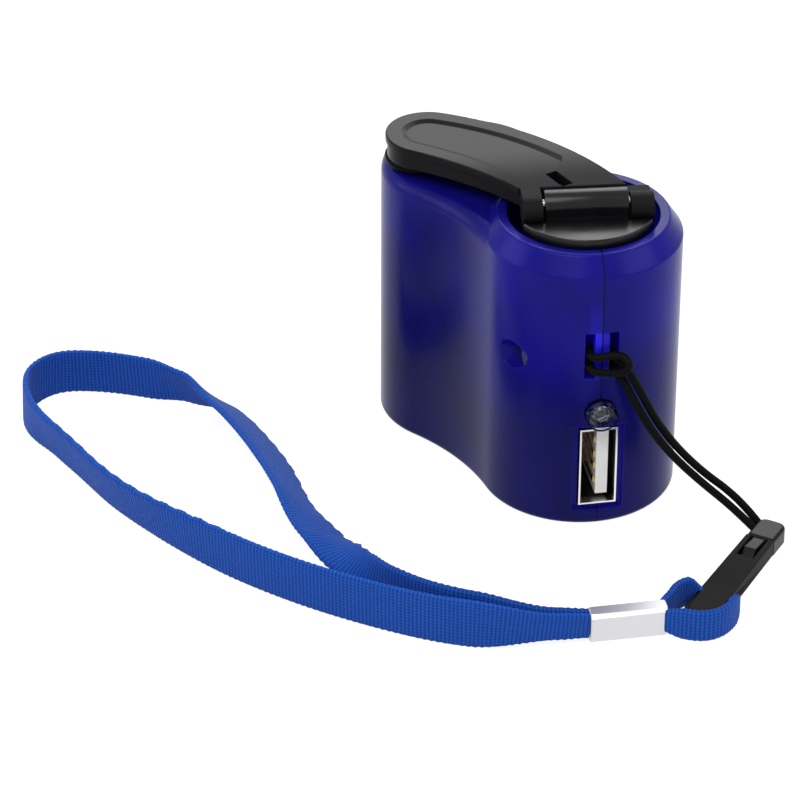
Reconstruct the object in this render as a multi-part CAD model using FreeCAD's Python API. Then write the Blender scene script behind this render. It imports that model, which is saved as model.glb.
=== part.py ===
"""Pocket hand crank charger with a folding crank, a USB socket, a lamp and a wrist lanyard.

Millimetres. The origin lies on the surface that the charger stands on, on the axis of the crank.
+Z is up along the crank axis, -Y is the end with the socket, and the far lobe lies towards +Y.
"""
import FreeCAD
import Part
import math
import os

os.makedirs("parts", exist_ok=True)
V = FreeCAD.Vector
UP = V(0, 0, 1)
ORIGIN = V(0, 0, 0)

# Housing: a round hub under the crank, a round far lobe, and a waist on the left side
HUB_R = 14.75
LOBE_R = 12.85
LOBE_X = -13.0
LOBE_Y = 22.6
WAIST_R = 35.9
WALL = 1.8
FLOOR = 1.8
HUB_TOP = 45.2
LOBE_DROP = 1.5
LOBE_TOP = HUB_TOP - LOBE_DROP
COLLAR_SLOPE = 2.0
COLLAR_RING_R = HUB_R - COLLAR_SLOPE
COLLAR_DROP = 2.9
TOP_ROUND = 2.3
FOOT_ROUND = 0.9
COLLAR_ROUND = 0.5

# Recess that the crank hub turns in
RECESS_RIM = 3.45
RECESS_DEPTH = 7.0
RECESS_R = HUB_R - RECESS_RIM
RECESS_FLOOR = HUB_TOP - RECESS_DEPTH
RECESS_FLOOR_T = 1.6
CUP_WALL = 1.6

# Running and seating clearances
RUN_FIT = 0.05
SEAT_FIT = 0.03
AIR = 0.3

# USB socket, standing on its side in the front of the hub
USB_Z = 10.05
USB_OPEN_W = 5.12
USB_OPEN_H = 12.5
USB_SHEET = 0.3
USB_DEPTH = 14.0
USB_SET_BACK = 0.25
USB_FRONT = USB_SET_BACK - HUB_R
TONGUE_W = 1.84
TONGUE_H = 11.1
TONGUE_X = 0.8
TONGUE_SET_BACK = 1.1
TONGUE_BASE = 2.6
CONTACT_W = 1.0
CONTACT_T = 0.2
CONTACT_PITCHES = (-3.5, -1.0, 1.0, 3.5)
USB_RIM = 0.9
USB_RIM_DEPTH = 0.6

# Lamp above the socket
LED_R = 2.3
LED_Z = 19.6
LED_PROUD = 1.6
LED_BODY = 8.6
LED_BACK = LED_BODY - LED_PROUD - HUB_R
LED_RIM = 0.3
LED_CUP_DEPTH = 1.1
LED_DOME_R = 1.55
LED_FLANGE_R = 2.85
LED_FLANGE_T = 1.0
LED_LEAD = 0.5
LED_LEAD_PITCH = 2.54
LED_LEAD_REACH = 1.6
LED_LEAD_STEP = 0.8

# Bar and tunnel that the lanyard is tied to
BAR_HALF = 1.05
BAR_T = 1.6
BAR_Z = 29.3
TUNNEL_HALF = 2.55
TUNNEL_HEIGHT = 7.6
TUNNEL_DEPTH = 3.45
TUNNEL_BACK = TUNNEL_DEPTH - HUB_R
TUNNEL_WALL = 0.9

# Circuit board and what it carries
BOARD_T = 1.2
BOARD_FRONT = USB_FRONT + 2.8
BOARD_BACK = 8.5
BOARD_LOW = 2.6
BOARD_STEP_Y = LED_BACK + 0.35
BOARD_STEP_Z = 16.2
BOARD_AIR = 1.4
CAPACITOR_R = 2.5
CAPACITOR_L = 7.0
CAPACITOR_Y = 4.2
CAPACITOR_Z = 6.6
CHIP = (1.6, 4.0, 5.0)
CHIP_Y = 4.4
CHIP_Z = 14.0
DIODE = (1.1, 2.3, 1.3)
DIODE_COUNT = 4
DIODE_PITCH = 1.9
DIODE_Y = -2.6
DIODE_Z = 19.6
RAIL = 1.2

# Gear train: module, tooth form and tooth counts
MODULE = 0.5
ADDENDUM = 0.4
DEDENDUM = 0.62
PRESSURE = math.radians(20)
BACKLASH = 0.12
DRIVE_TEETH = 40
PINION_TEETH = 10
IDLER_1_TEETH = 26
IDLER_2_TEETH = 22
IDLER_1_AT = math.radians(107.4)
GEAR_T = 2.2
GEAR_AIR = 0.6
STAGE_AIR = 0.5
AXLE_R = 0.8
SLEEVE_R = 1.6

# Plates and pillars of the gear cage
PLATE_T = 1.4
UPPER_PLATE_T = 1.2
PLATE_GAP = 0.3
LOWER_PLATE_FRONT = -6.0
UPPER_PLATE_FRONT = -4.5
PILLAR_R = 1.8
PILLAR_BORE = 0.95
LONG_PILLARS = ((-8.5, 1.5), (7.5, 6.0))
SHORT_PILLARS = ((-19.6, 26.8), (-6.4, 26.6))
POST_R = 2.3
POST_PILOT = 0.85
CAGE_SCREW_DEPTH = 7.0
SCREW_R = 0.82
SCREW_HEAD_R = 1.6
SCREW_HEAD_T = 0.9

# Generator in the far lobe
CAN_R = 9.2
CAN_WALL = 0.6
CAN_FLOOR = 0.8
CAN_H = 15.0
COIL_R = 8.5
COIL_BORE = 6.3
COIL_DROP = 1.4
COIL_CHEEK = 0.8
COIL_CHEEK_IN = 0.6
MAGNET_R = 5.6
MAGNET_LIFT = 2.2
MAGNET_DROP = 1.0
ROTOR_SHAFT_R = 0.9
BEARING_R = 2.2
BEARING_DROP = 0.8
LEDGE_T = 2.0
LEDGE_GAP = 0.35
WIRE_R = 0.45
WIRE_Z = 11.0
WIRE_PITCH = 3.0
WIRE_DROP = 2.0
WIRE_LEAVES_AT = math.radians(-52)
WIRE_LEAVES_BY = (1.6, -2.0)
WIRE_ENDS_BY = 2.6
WIRE_SAG = (0.6, 0.5, 0.5)

# Screws that join the two shells: one at the hub end, two through the far lobe
CASE_SCREW_R = 1.1
CASE_SCREW_HEAD_R = 1.9
CASE_SCREW_HEAD_T = 1.4
CASE_SCREW_SINK = 3.2
CASE_BOSS_R = 2.4
CASE_SCREW_L = 13.0
HUB_SCREW_Y = -8.4
HUB_SCREW_LIFT = 4.2
LOBE_SCREW_LOW = 4.9
LOBE_SCREW_DROP = 6.4

# Folding crank arm
ARM_RISE = 4.0
ARM_TOP = HUB_TOP + ARM_RISE
ARM_PLATE_T = 1.5
ARM_DEPTH = 2.9
ARM_TIP_DEPTH = 3.7
ARM_LOW = ARM_TOP - ARM_DEPTH
ARM_TIP_LOW = ARM_TOP - ARM_TIP_DEPTH
ARM_SKIRT_T = 1.3
ARM_LIP = 0.3
ARM_LIP_T = 1.1
ARM_EDGE_ROUND = 0.25
ARM_TIP_X = -20.9
ARM_TIP_Y = 19.0
ARM_TIP_R = 6.5
ARM_FAR_EDGE_R = 46.0
ARM_NEAR_EDGE_R = 52.0
ARM_ROOT_Y = 0.6
ARM_ROOT_LEFT = -9.7
ARM_ROOT_RIGHT = 6.4
DISH_INSET = 2.4
DISH_DEPTH = 0.3
DISH_SLOPE = 0.9
DISH_END_X = -7.6
DISH_END_Y = 4.4
DISH_END_R = 5.5
SLOT_X = -3.3
SLOT_Y = 3.0
SLOT_L = 4.4
SLOT_W = 1.9
SLOT_TURN = -63.0

# Hinge of the arm: a barrel on the hub between two knuckles on the arm
HINGE_Y = -1.9
HINGE_DROP = 1.35
HINGE_Z = ARM_TOP - HINGE_DROP
HINGE_PIN_R = 0.7
BARREL_R = 2.05
BARREL_HALF = 6.15
KNUCKLE_R = 2.25
KNUCKLE_DROP = 0.9
KNUCKLE_FORWARD = 0.25
KNUCKLE_IN = 6.45
KNUCKLE_LEFT = 9.35
KNUCKLE_RIGHT = 9.9
KNUCKLE_REACH = 1.5
KNUCKLE_BRIDGE_T = 1.5
KNUCKLE_BRIDGE_W = 2.0
SWING_R = math.hypot(KNUCKLE_DROP, KNUCKLE_FORWARD) + KNUCKLE_R + AIR

# Crank hub in the recess: a ledge in front that the unfolded arm comes down to, and a low strip behind it
CRANK_TURN = -5.0
UNFOLDED_GAP = 0.05
HUB_BLOCK_R = RECESS_R - 0.55
HUB_BLOCK_HALF = 7.3
HUB_BLOCK_LOW = RECESS_FLOOR + 1.0
HUB_BACK_TOP = HUB_TOP - 0.6
HUB_LEDGE_TOP = 2 * HINGE_Z - ARM_TOP - UNFOLDED_GAP
HUB_LEDGE_BACK = -4.5
SHAFT_R = 2.25
SHAFT_TOP = HUB_TOP - 1.2
BUSH_R = 3.2
BUSH_FLANGE_R = 4.2
BUSH_FLANGE_T = 0.7
HUB_SCREW_HEAD_R = 3.4
HUB_SCREW_HEAD_T = 1.4
HUB_SCREW_HEAD_AIR = 0.8
HUB_SCREW_R = 1.0
HUB_SCREW_REACH = 7.0

# Finger knob, hung under the arm's tip and a little beyond its middle
KNOB_X = -22.2
KNOB_Y = 20.2
KNOB_R = 5.2
KNOB_LOW = LOBE_TOP + AIR
KNOB_TOP = ARM_TIP_LOW - AIR
KNOB_NECK_R = 2.8
KNOB_NECK_TOP = ARM_TOP - ARM_PLATE_T - AIR
KNOB_ROUND = 0.45
KNOB_PIN_R = 1.2
KNOB_PIN_COVER = 0.4
KNOB_PIN_HEAD_R = 2.0
KNOB_PIN_HEAD_T = 0.7

# Heights of the gear train, its cage and the generator, worked down from the floor of the recess
CUP_LOW = RECESS_FLOOR - RECESS_FLOOR_T
DRIVE_Z = CUP_LOW - GEAR_AIR - GEAR_T
UPPER_PLATE_Z = DRIVE_Z - HUB_SCREW_HEAD_T - HUB_SCREW_HEAD_AIR - UPPER_PLATE_T
UPPER_GEAR_Z = UPPER_PLATE_Z - GEAR_AIR - GEAR_T
LOWER_GEAR_Z = UPPER_GEAR_Z - STAGE_AIR - GEAR_T
LOWER_PLATE_Z = LOWER_GEAR_Z - STAGE_AIR - PLATE_T
CAGE_SCREW_REACH = LOWER_PLATE_Z - CAGE_SCREW_DEPTH
CAN_LOW = LOWER_PLATE_Z - CAN_H
COIL_TOP = LOWER_PLATE_Z - COIL_DROP
MAGNET_LOW = CAN_LOW + MAGNET_LIFT
MAGNET_TOP = COIL_TOP - MAGNET_DROP
BOARD_TOP = LOWER_PLATE_Z - BOARD_AIR
HUB_SCREW_Z = LOWER_PLATE_Z + HUB_SCREW_LIFT
LOBE_SCREW_HIGH = LOBE_TOP - LOBE_SCREW_DROP

# Lanyard: thin cord, clip, crimp and woven strap
CORD_R = 0.6
STRAP_W = 8.0
STRAP_T = 1.0
STRAP_IN_CRIMP = (0.5, 4.5)
LAYER_GAP = 0.2
CRIMP_LEFT = -7.6
CRIMP_RIGHT = 3.7
CRIMP_Y = -43.45
CRIMP_T = 2.9
CRIMP_H = 4.8
CRIMP_FACET = 0.5
LOOP_H = 5.2
GATHER_FROM = -26.0
CLIP_TOP_AT = (25.3, -22.1)
CLIP_L = 27.6
CLIP_W = 4.4
CLIP_END_W = 5.0
CLIP_T = 2.6
CLIP_TURN = 51.9
CLIP_CAP_L = 5.2
CLIP_EYE_FROM_END = 6.0
CLIP_EYE_L = 1.7
CLIP_EYE_H = 1.5
CLIP_EYE_WALL = 0.55
CLIP_WINDOW_L = 5.4
CLIP_WINDOW_W = 2.6
CLIP_TONGUE_T = 1.4

# Route of the lanyard cord, from the clip up to the bar, round it and back to the clip
CORD_ROUTE = (
    (23.4, -22.2, 1.6), (21.9, -20.7, 3.5), (19.0, -19.1, 6.5), (15.0, -18.3, 9.8), (11.0, -17.8, 14.2),
    (8.05, -17.5, 18.6), (6.0, -17.2, 22.7), (4.4, -16.6, 26.0), (2.8, -15.75, 28.3), (1.85, -14.7, 28.9),
    (1.78, -12.2, 29.2), (-1.78, -12.2, 29.4), (-1.85, -14.9, 29.5), (-0.9, -15.75, 29.6), (1.0, -15.8, 29.9),
    (2.7, -16.4, 30.1), (3.6, -17.6, 29.2), (2.9, -17.6, 27.9), (1.2, -16.1, 27.1), (-0.9, -15.75, 27.1),
    (-1.85, -14.9, 27.4), (-1.78, -12.2, 27.3), (1.78, -12.2, 27.1), (1.85, -14.7, 26.8), (2.7, -15.8, 26.0),
    (3.95, -16.8, 23.6), (5.5, -17.8, 20.4), (7.75, -18.25, 16.6), (10.9, -18.6, 12.5), (14.8, -19.1, 8.4),
    (18.4, -20.1, 5.2), (21.2, -22.0, 2.7), (22.6, -23.2, 1.4),
)

# Route of the strap in plan, from the crimp round the wrist loop and back to the crimp
STRAP_ROUTE = (
    (-14.5, -44.2), (-21.5, -43.7), (-29.0, -40.7), (-37.0, -35.7), (-45.4, -29.4), (-53.4, -22.0),
    (-60.4, -13.9), (-66.4, -6.3), (-71.2, 1.6), (-74.6, 10.0), (-77.9, 17.3), (-80.9, 24.3),
    (-80.4, 31.4), (-75.4, 36.0), (-68.5, 34.9), (-61.0, 31.4), (-54.5, 27.2), (-50.3, 20.4),
    (-47.6, 12.2), (-45.7, 4.4), (-44.6, -3.7), (-43.2, -12.1), (-40.6, -20.5), (-36.6, -28.4),
    (-31.3, -35.1), (-24.6, -40.1), (-16.5, -42.4),
)

# Route of the small end loop, from the crimp round through the eye of the clip
LOOP_ROUTE = (
    (6.2, -46.2), (8.9, -47.0), (11.5, -46.2), (13.7, -43.9), (14.9, -41.5), (11.97, -39.08), (9.3, -37.0),
    (6.3, -38.6), (4.6, -41.2),
)


def prism(outline, low, high):
    """Solid standing on an outline, from one height to another."""
    face = Part.Face(outline)
    face.translate(V(0, 0, low - face.BoundBox.ZMin))
    return face.extrude(V(0, 0, high - low))


def cylinder(x, y, low, high, radius):
    """Upright round solid."""
    return Part.makeCylinder(radius, high - low, V(x, y, low))


def tube_ring(x, y, low, high, outer, inner):
    """Upright round solid with a bore."""
    return cylinder(x, y, low, high, outer).cut(cylinder(x, y, low, high, inner))


def box(x0, x1, y0, y1, z0, z1):
    """Solid with square faces between two corners."""
    return Part.makeBox(x1 - x0, y1 - y0, z1 - z0, V(x0, y0, z0))


def polar(centre, radius, angle):
    """Point on a circle at an angle."""
    return centre + V(radius * math.cos(angle), radius * math.sin(angle), 0)


def bearing(start, end):
    """Angle of the line from one point to another."""
    return math.atan2(end.y - start.y, end.x - start.x)


def arc(centre, radius, start, end):
    """Arc that turns anticlockwise from one angle to another."""
    while end < start:
        end += 2 * math.pi
    middle = (start + end) / 2
    return Part.Arc(polar(centre, radius, start), polar(centre, radius, middle), polar(centre, radius, end)).toShape()


def joined(edges):
    """One wire from edges that meet end to end."""
    return Part.Wire(Part.__sortEdges__(edges))


def loop(points):
    """Closed wire of straight lines."""
    return Part.makePolygon(list(points) + [points[0]])


def where_circles_cross(first, first_r, second, second_r, side):
    """Crossing of two circles, on the left (1) or right (-1) of the line between their centres."""
    along = second - first
    distance = along.Length
    along.normalize()
    step = (first_r ** 2 - second_r ** 2 + distance ** 2) / (2 * distance)
    rise = math.sqrt(first_r ** 2 - step ** 2)
    return first + along * step + UP.cross(along) * (side * rise)


def fused(shapes):
    """One solid from shapes that touch or overlap."""
    whole = shapes[0]
    for shape in shapes[1:]:
        whole = whole.fuse(shape)
    return whole.removeSplitter()


def moved_copy(shape, by):
    """Copy of a shape at another place."""
    copy = shape.copy()
    copy.translate(by)
    return copy


def save(node, shape):
    """Write one sub-part to its own file."""
    solids = shape.Solids
    sound = all(solid.isValid() for solid in solids)
    print("%-18s solids %2d  volume %9.2f  sound %s" % (node, len(solids), shape.Volume, sound))
    shape.exportStep("parts/%s.step" % node)


# Places worked out from the driving dimensions
HUB = V(0, 0, 0)
LOBE = V(LOBE_X, LOBE_Y, 0)
SPINE = (LOBE - HUB).normalize()
WAIST = where_circles_cross(HUB, HUB_R + WAIST_R, LOBE, LOBE_R + WAIST_R, 1)
SIDE_ANGLE = math.atan2(SPINE.y, SPINE.x) - math.acos((HUB_R - LOBE_R) / (LOBE - HUB).Length)
HINGE = V(0, HINGE_Y, HINGE_Z)
USB_HALF_W = USB_OPEN_W / 2 + USB_SHEET
USB_HALF_H = USB_OPEN_H / 2 + USB_SHEET
BOARD_X = USB_HALF_W
TUNNEL_LOW = BAR_Z - TUNNEL_HEIGHT / 2
TUNNEL_HIGH = BAR_Z + TUNNEL_HEIGHT / 2
PITCH = math.pi * MODULE
PART_R = (LOBE_X ** 2 + LOBE_Y ** 2) / (-2 * LOBE_X)
PART_CENTRE = V(-PART_R, 0, 0)
PART_END = bearing(PART_CENTRE, LOBE)
LOBE_SCREW_WAY = V(math.cos(PART_END), math.sin(PART_END), 0)


def body_outline(inset):
    """Outline of the housing seen from above, drawn in by a distance."""
    hub_r = HUB_R - inset
    lobe_r = LOBE_R - inset
    edges = [
        arc(HUB, hub_r, bearing(HUB, WAIST), SIDE_ANGLE),
        Part.makeLine(polar(HUB, hub_r, SIDE_ANGLE), polar(LOBE, lobe_r, SIDE_ANGLE)),
        arc(LOBE, lobe_r, SIDE_ANGLE, bearing(LOBE, WAIST)),
        arc(WAIST, WAIST_R + inset, bearing(WAIST, HUB), bearing(WAIST, LOBE)),
    ]
    return joined(edges)


def edges_at(shape, height):
    """Edges of a shape that lie flat at a height."""
    return [e for e in shape.Edges if abs(e.BoundBox.ZMin - height) < 1e-4 and abs(e.BoundBox.ZMax - height) < 1e-4]


def housing_outside():
    """Outer form of the closed housing."""
    lower = prism(body_outline(0), 0, LOBE_TOP)
    lower = lower.makeFillet(TOP_ROUND, edges_at(lower, LOBE_TOP))
    lower = lower.makeFillet(FOOT_ROUND, edges_at(lower, 0))
    collar_low = HUB_TOP - COLLAR_DROP
    profile = loop([
        V(0, 0, LOBE_TOP - 4 * TOP_ROUND), V(HUB_R, 0, LOBE_TOP - 4 * TOP_ROUND), V(HUB_R, 0, collar_low),
        V(COLLAR_RING_R, 0, HUB_TOP), V(0, 0, HUB_TOP),
    ])
    collar = Part.Face(profile).revolve(ORIGIN, UP, 360)
    collar = collar.makeFillet(COLLAR_ROUND, edges_at(collar, HUB_TOP) + edges_at(collar, collar_low))
    return lower.fuse(collar).removeSplitter()


def housing_cavity():
    """Hollow inside the housing, below the recess and under the top of the far lobe."""
    below = prism(body_outline(WALL), FLOOR, CUP_LOW)
    above = prism(body_outline(WALL), CUP_LOW, LOBE_TOP - WALL)
    above = above.cut(cylinder(0, 0, CUP_LOW - 1, HUB_TOP, RECESS_R + CUP_WALL))
    across = UP.cross(SPINE)
    start = SPINE * (RECESS_R / 2)
    front = loop([start + across * 40, start - across * 40, start - across * 40 - SPINE * 60,
                  start + across * 40 - SPINE * 60])
    return below.fuse(above.cut(prism(front, CUP_LOW - 1, HUB_TOP))).removeSplitter()


def case_screw_places():
    """Middle of each case screw on the parting surface, with the way that it is driven."""
    places = [(V(0, HUB_SCREW_Y, HUB_SCREW_Z), V(1, 0, 0))]
    for height in (LOBE_SCREW_LOW, LOBE_SCREW_HIGH):
        places.append((LOBE + V(0, 0, height), LOBE_SCREW_WAY * -1))
    return places


def case_head_at():
    """Distance from the parting surface to the seat of each case screw's head."""
    hub_wall = math.sqrt(HUB_R ** 2 - HUB_SCREW_Y ** 2)
    return [hub_wall - CASE_SCREW_SINK, LOBE_R - CASE_SCREW_SINK, LOBE_R - CASE_SCREW_SINK]


def rod(centre, way, start, end, radius):
    """Round bar along a direction, between two distances from a point."""
    return Part.makeCylinder(radius, end - start, centre + way * start, way)


def inner_features():
    """Bosses, posts, ledge, rails and tunnel walls that stand inside the housing."""
    shapes = []
    for centre, way in case_screw_places():
        shapes.append(rod(centre, way, -HUB_R, HUB_R, CASE_BOSS_R))
    for x, y in LONG_PILLARS:
        shapes.append(cylinder(x, y, FLOOR - 0.5, LOWER_PLATE_Z, POST_R))
    ledge_r = CAN_R + LEDGE_GAP
    ledge = prism(body_outline(WALL - 0.5), LOWER_PLATE_Z - LEDGE_T, LOWER_PLATE_Z)
    ledge = ledge.cut(cylinder(LOBE_X, LOBE_Y, 0, HUB_TOP, ledge_r))
    keep = loop([LOBE + SPINE * -2 + UP.cross(SPINE) * 30, LOBE + SPINE * -2 - UP.cross(SPINE) * 30,
                 LOBE + SPINE * 30 - UP.cross(SPINE) * 30, LOBE + SPINE * 30 + UP.cross(SPINE) * 30])
    shapes.append(ledge.common(prism(keep, 0, HUB_TOP)))
    tunnel_out = TUNNEL_HALF + TUNNEL_WALL
    shapes.append(box(-tunnel_out, tunnel_out, -HUB_R, TUNNEL_BACK + TUNNEL_WALL,
                      TUNNEL_LOW - TUNNEL_WALL, TUNNEL_HIGH + TUNNEL_WALL))
    board_far = BOARD_X + BOARD_T
    rail_y = BOARD_BACK - 2.4
    shapes.append(box(board_far, HUB_R, rail_y, rail_y + RAIL, FLOOR - 0.5, BOARD_TOP - 4))
    shapes.append(box(board_far, HUB_R, BOARD_FRONT + 2.2, BOARD_FRONT + 2.2 + RAIL, FLOOR - 0.5, BOARD_STEP_Z - 2))
    inside = prism(body_outline(WALL / 2), FLOOR / 2, LOBE_TOP - WALL / 2)
    return [shape.common(inside) for shape in shapes]


def front_openings():
    """Socket mouth, lamp hole and lanyard tunnel in the front wall."""
    cuts = []
    reach = HUB_R + 1
    gap = 0.12
    cuts.append(box(-USB_HALF_W - gap, USB_HALF_W + gap, -reach, -HUB_R + 5, USB_Z - USB_HALF_H - gap,
                    USB_Z + USB_HALF_H + gap))
    rim_w = USB_HALF_W + USB_RIM
    rim_h = USB_HALF_H + USB_RIM
    rim = box(-rim_w, rim_w, -reach, -HUB_R + 1, USB_Z - rim_h, USB_Z + rim_h - USB_RIM / 2)
    cuts.append(rim.cut(cylinder(0, 0, 0, HUB_TOP, HUB_R - USB_RIM_DEPTH)))
    lamp = V(0, 0, LED_Z)
    cuts.append(rod(lamp, V(0, -1, 0), HUB_R - 5, reach, LED_R + RUN_FIT))
    tunnel = box(-TUNNEL_HALF, TUNNEL_HALF, -reach, TUNNEL_BACK, TUNNEL_LOW, TUNNEL_HIGH)
    bar = cylinder(0, 0, TUNNEL_LOW - 1, TUNNEL_HIGH + 1, HUB_R)
    bar = bar.cut(cylinder(0, 0, 0, HUB_TOP, HUB_R - BAR_T))
    bar = bar.common(box(-BAR_HALF, BAR_HALF, -reach, TUNNEL_BACK, 0, HUB_TOP))
    cuts.append(tunnel.cut(bar))
    return cuts


def other_openings():
    """Recess, crank bush, axle hole, screw holes and post pilots."""
    cuts = [cylinder(0, 0, RECESS_FLOOR, HUB_TOP + 1, RECESS_R)]
    cuts.append(cylinder(0, 0, CUP_LOW - 1, HUB_TOP, BUSH_R + SEAT_FIT))
    cuts.append(cylinder(IDLER_1.x, IDLER_1.y, CUP_LOW - 1, CUP_LOW + 1, AXLE_R + SEAT_FIT))
    for (centre, way), head in zip(case_screw_places(), case_head_at()):
        cuts.append(rod(centre, way, -HUB_R - 2, -head, CASE_SCREW_HEAD_R + AIR))
        cuts.append(rod(centre, way, -head, CASE_SCREW_L - head + 1, CASE_SCREW_R + SEAT_FIT))
    for x, y in LONG_PILLARS:
        cuts.append(cylinder(x, y, CAGE_SCREW_REACH - 1, LOWER_PLATE_Z, SCREW_R + SEAT_FIT))
    return cuts


def left_region():
    """Everything to the left of the parting surface."""
    far = 80
    front = V(0, -far, 0)
    end = polar(PART_CENTRE, PART_R, PART_END)
    away = end + UP.cross(LOBE_SCREW_WAY) * far
    corner_far = V(-2 * far, away.y, 0)
    corner_near = V(-2 * far, -far, 0)
    edges = [
        Part.makeLine(front, HUB), arc(PART_CENTRE, PART_R, 0, PART_END), Part.makeLine(end, away),
        Part.makeLine(away, corner_far), Part.makeLine(corner_far, corner_near), Part.makeLine(corner_near, front),
    ]
    return prism(joined(edges), -1, HUB_TOP + 1)


def make_shells():
    """The two halves of the moulded housing, split along the curved parting surface."""
    whole = housing_outside().cut(housing_cavity())
    for shape in inner_features():
        whole = whole.fuse(shape)
    whole = whole.removeSplitter()
    for shape in front_openings() + other_openings():
        whole = whole.cut(shape)
    region = left_region()
    save("left_shell", whole.common(region).removeSplitter())
    save("right_shell", whole.cut(region).removeSplitter())


def make_case_screws():
    """Three screws with sunk round heads."""
    screws = []
    for (centre, way), head in zip(case_screw_places(), case_head_at()):
        seat = centre - way * head
        shank = Part.makeCylinder(CASE_SCREW_R, CASE_SCREW_L, seat, way)
        top = Part.makeCylinder(CASE_SCREW_HEAD_R, CASE_SCREW_HEAD_T, seat, way * -1)
        across = V(0, 0, 1).cross(way)
        groove = Part.makeBox(0.5, 2 * CASE_SCREW_HEAD_R + 1, 0.7)
        groove.translate(V(-0.25, -CASE_SCREW_HEAD_R - 0.5, -0.35))
        turn = FreeCAD.Rotation(V(0, 0, 1), way * -1)
        groove.Placement = FreeCAD.Placement(seat - way * CASE_SCREW_HEAD_T, turn).multiply(groove.Placement)
        cross = groove.copy()
        cross.rotate(seat, way, 90)
        screws.append(fused([shank, top]).cut(groove).cut(cross))
    save("case_screws", Part.makeCompound(screws))


def make_socket():
    """USB socket: pressed sheet shell, moulded tongue and four contacts."""
    back = USB_FRONT + USB_DEPTH
    low = USB_Z - USB_HALF_H
    high = USB_Z + USB_HALF_H
    outer = box(-USB_HALF_W, USB_HALF_W, USB_FRONT, back, low, high)
    inner = box(-USB_OPEN_W / 2, USB_OPEN_W / 2, USB_FRONT - 1, back - USB_SHEET,
                low + USB_SHEET, high - USB_SHEET)
    shell = outer.cut(inner)
    save("usb_shell", shell)
    face = USB_FRONT + TONGUE_SET_BACK
    base_front = back - USB_SHEET - TONGUE_BASE
    half = TONGUE_W / 2
    blade = box(TONGUE_X - half, TONGUE_X + half, face, base_front, USB_Z - TONGUE_H / 2, USB_Z + TONGUE_H / 2)
    base = box(-USB_OPEN_W / 2, USB_OPEN_W / 2, base_front, back - USB_SHEET,
               low + USB_SHEET, high - USB_SHEET)
    save("usb_tongue", fused([blade, base]))
    strips = []
    side = TONGUE_X - half
    for offset in CONTACT_PITCHES:
        middle = USB_Z + offset
        strip = box(side - CONTACT_T, side, face + 0.8, base_front, middle - CONTACT_W / 2, middle + CONTACT_W / 2)
        strips.append(strip)
    save("usb_contacts", Part.makeCompound(strips))


def make_lamp():
    """Clear round lamp, cupped in front round a small dome, and its two leads, which bend across to the board."""
    front = HUB_R + LED_PROUD
    centre = V(0, 0, LED_Z)
    way = V(0, -1, 0)
    body = rod(centre, way, -LED_BACK, front, LED_R)
    body = body.cut(rod(centre, way, front - LED_CUP_DEPTH, front + 1, LED_R - LED_RIM))
    dome = Part.makeSphere(LED_DOME_R, V(0, LED_DOME_R - front + LED_RIM, LED_Z))
    flange = rod(centre, way, -LED_BACK, LED_FLANGE_T - LED_BACK, LED_FLANGE_R)
    save("led", fused([body, dome, flange]))
    leads = []
    for side in (-1, 1):
        x = side * LED_LEAD_PITCH / 2
        y = LED_BACK + LED_LEAD_REACH - side * LED_LEAD_STEP
        half = LED_LEAD / 2
        low = LED_Z - half
        high = LED_Z + half
        leg = box(x - half, x + half, LED_BACK, y + half, low, high)
        reach = box(x - half, BOARD_X, y - half, y + half, low, high)
        leads.append(fused([leg, reach]))
    save("led_leads", Part.makeCompound(leads))


def make_board():
    """Upright circuit board beside the socket, with its parts on the near face."""
    outline = loop([
        V(BOARD_X, BOARD_FRONT, BOARD_LOW), V(BOARD_X, BOARD_BACK, BOARD_LOW), V(BOARD_X, BOARD_BACK, BOARD_TOP),
        V(BOARD_X, BOARD_STEP_Y, BOARD_TOP), V(BOARD_X, BOARD_STEP_Y, BOARD_STEP_Z),
        V(BOARD_X, BOARD_FRONT, BOARD_STEP_Z),
    ])
    save("circuit_board", Part.Face(outline).extrude(V(BOARD_T, 0, 0)))
    can = Part.makeCylinder(CAPACITOR_R, CAPACITOR_L, V(BOARD_X, CAPACITOR_Y, CAPACITOR_Z), V(-1, 0, 0))
    rims = [edge for edge in can.Edges if abs(edge.BoundBox.XMin - (BOARD_X - CAPACITOR_L)) < 1e-4
            and abs(edge.BoundBox.XMax - edge.BoundBox.XMin) < 1e-4]
    save("capacitor", can.makeFillet(0.4, rims))
    depth, width, height = CHIP
    chip = box(BOARD_X - depth, BOARD_X, CHIP_Y - width / 2, CHIP_Y + width / 2,
               CHIP_Z - height / 2, CHIP_Z + height / 2)
    save("regulator_chip", chip)
    depth, width, height = DIODE
    diodes = []
    for index in range(DIODE_COUNT):
        y = DIODE_Y + index * (DIODE_PITCH + 1)
        diodes.append(box(BOARD_X - depth, BOARD_X, y, y + width, DIODE_Z - height / 2, DIODE_Z + height / 2))
    save("diodes", Part.makeCompound(diodes))


def involute(angle):
    """Involute function of a pressure angle."""
    return math.tan(angle) - angle


def gear_outline(teeth, phase):
    """Closed outline of a spur gear with one tooth centred on the phase angle."""
    pitch_r = MODULE * teeth / 2
    base_r = pitch_r * math.cos(PRESSURE)
    root_r = pitch_r - DEDENDUM
    tip_r = pitch_r + ADDENDUM
    half_tooth = (PITCH / 2 - BACKLASH) / 2 / pitch_r
    radii = [root_r, max(base_r, root_r + 0.05), (max(base_r, root_r) + tip_r) / 2, tip_r]
    flank = []
    for radius in radii:
        roll = math.acos(min(1, base_r / radius))
        flank.append((radius, half_tooth + involute(PRESSURE) - involute(roll)))
    points = []
    for tooth in range(teeth):
        centre = phase + 2 * math.pi * tooth / teeth
        points += [polar(ORIGIN, radius, centre - half) for radius, half in flank]
        points += [polar(ORIGIN, radius, centre + half) for radius, half in reversed(flank)]
    return loop(points)


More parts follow.
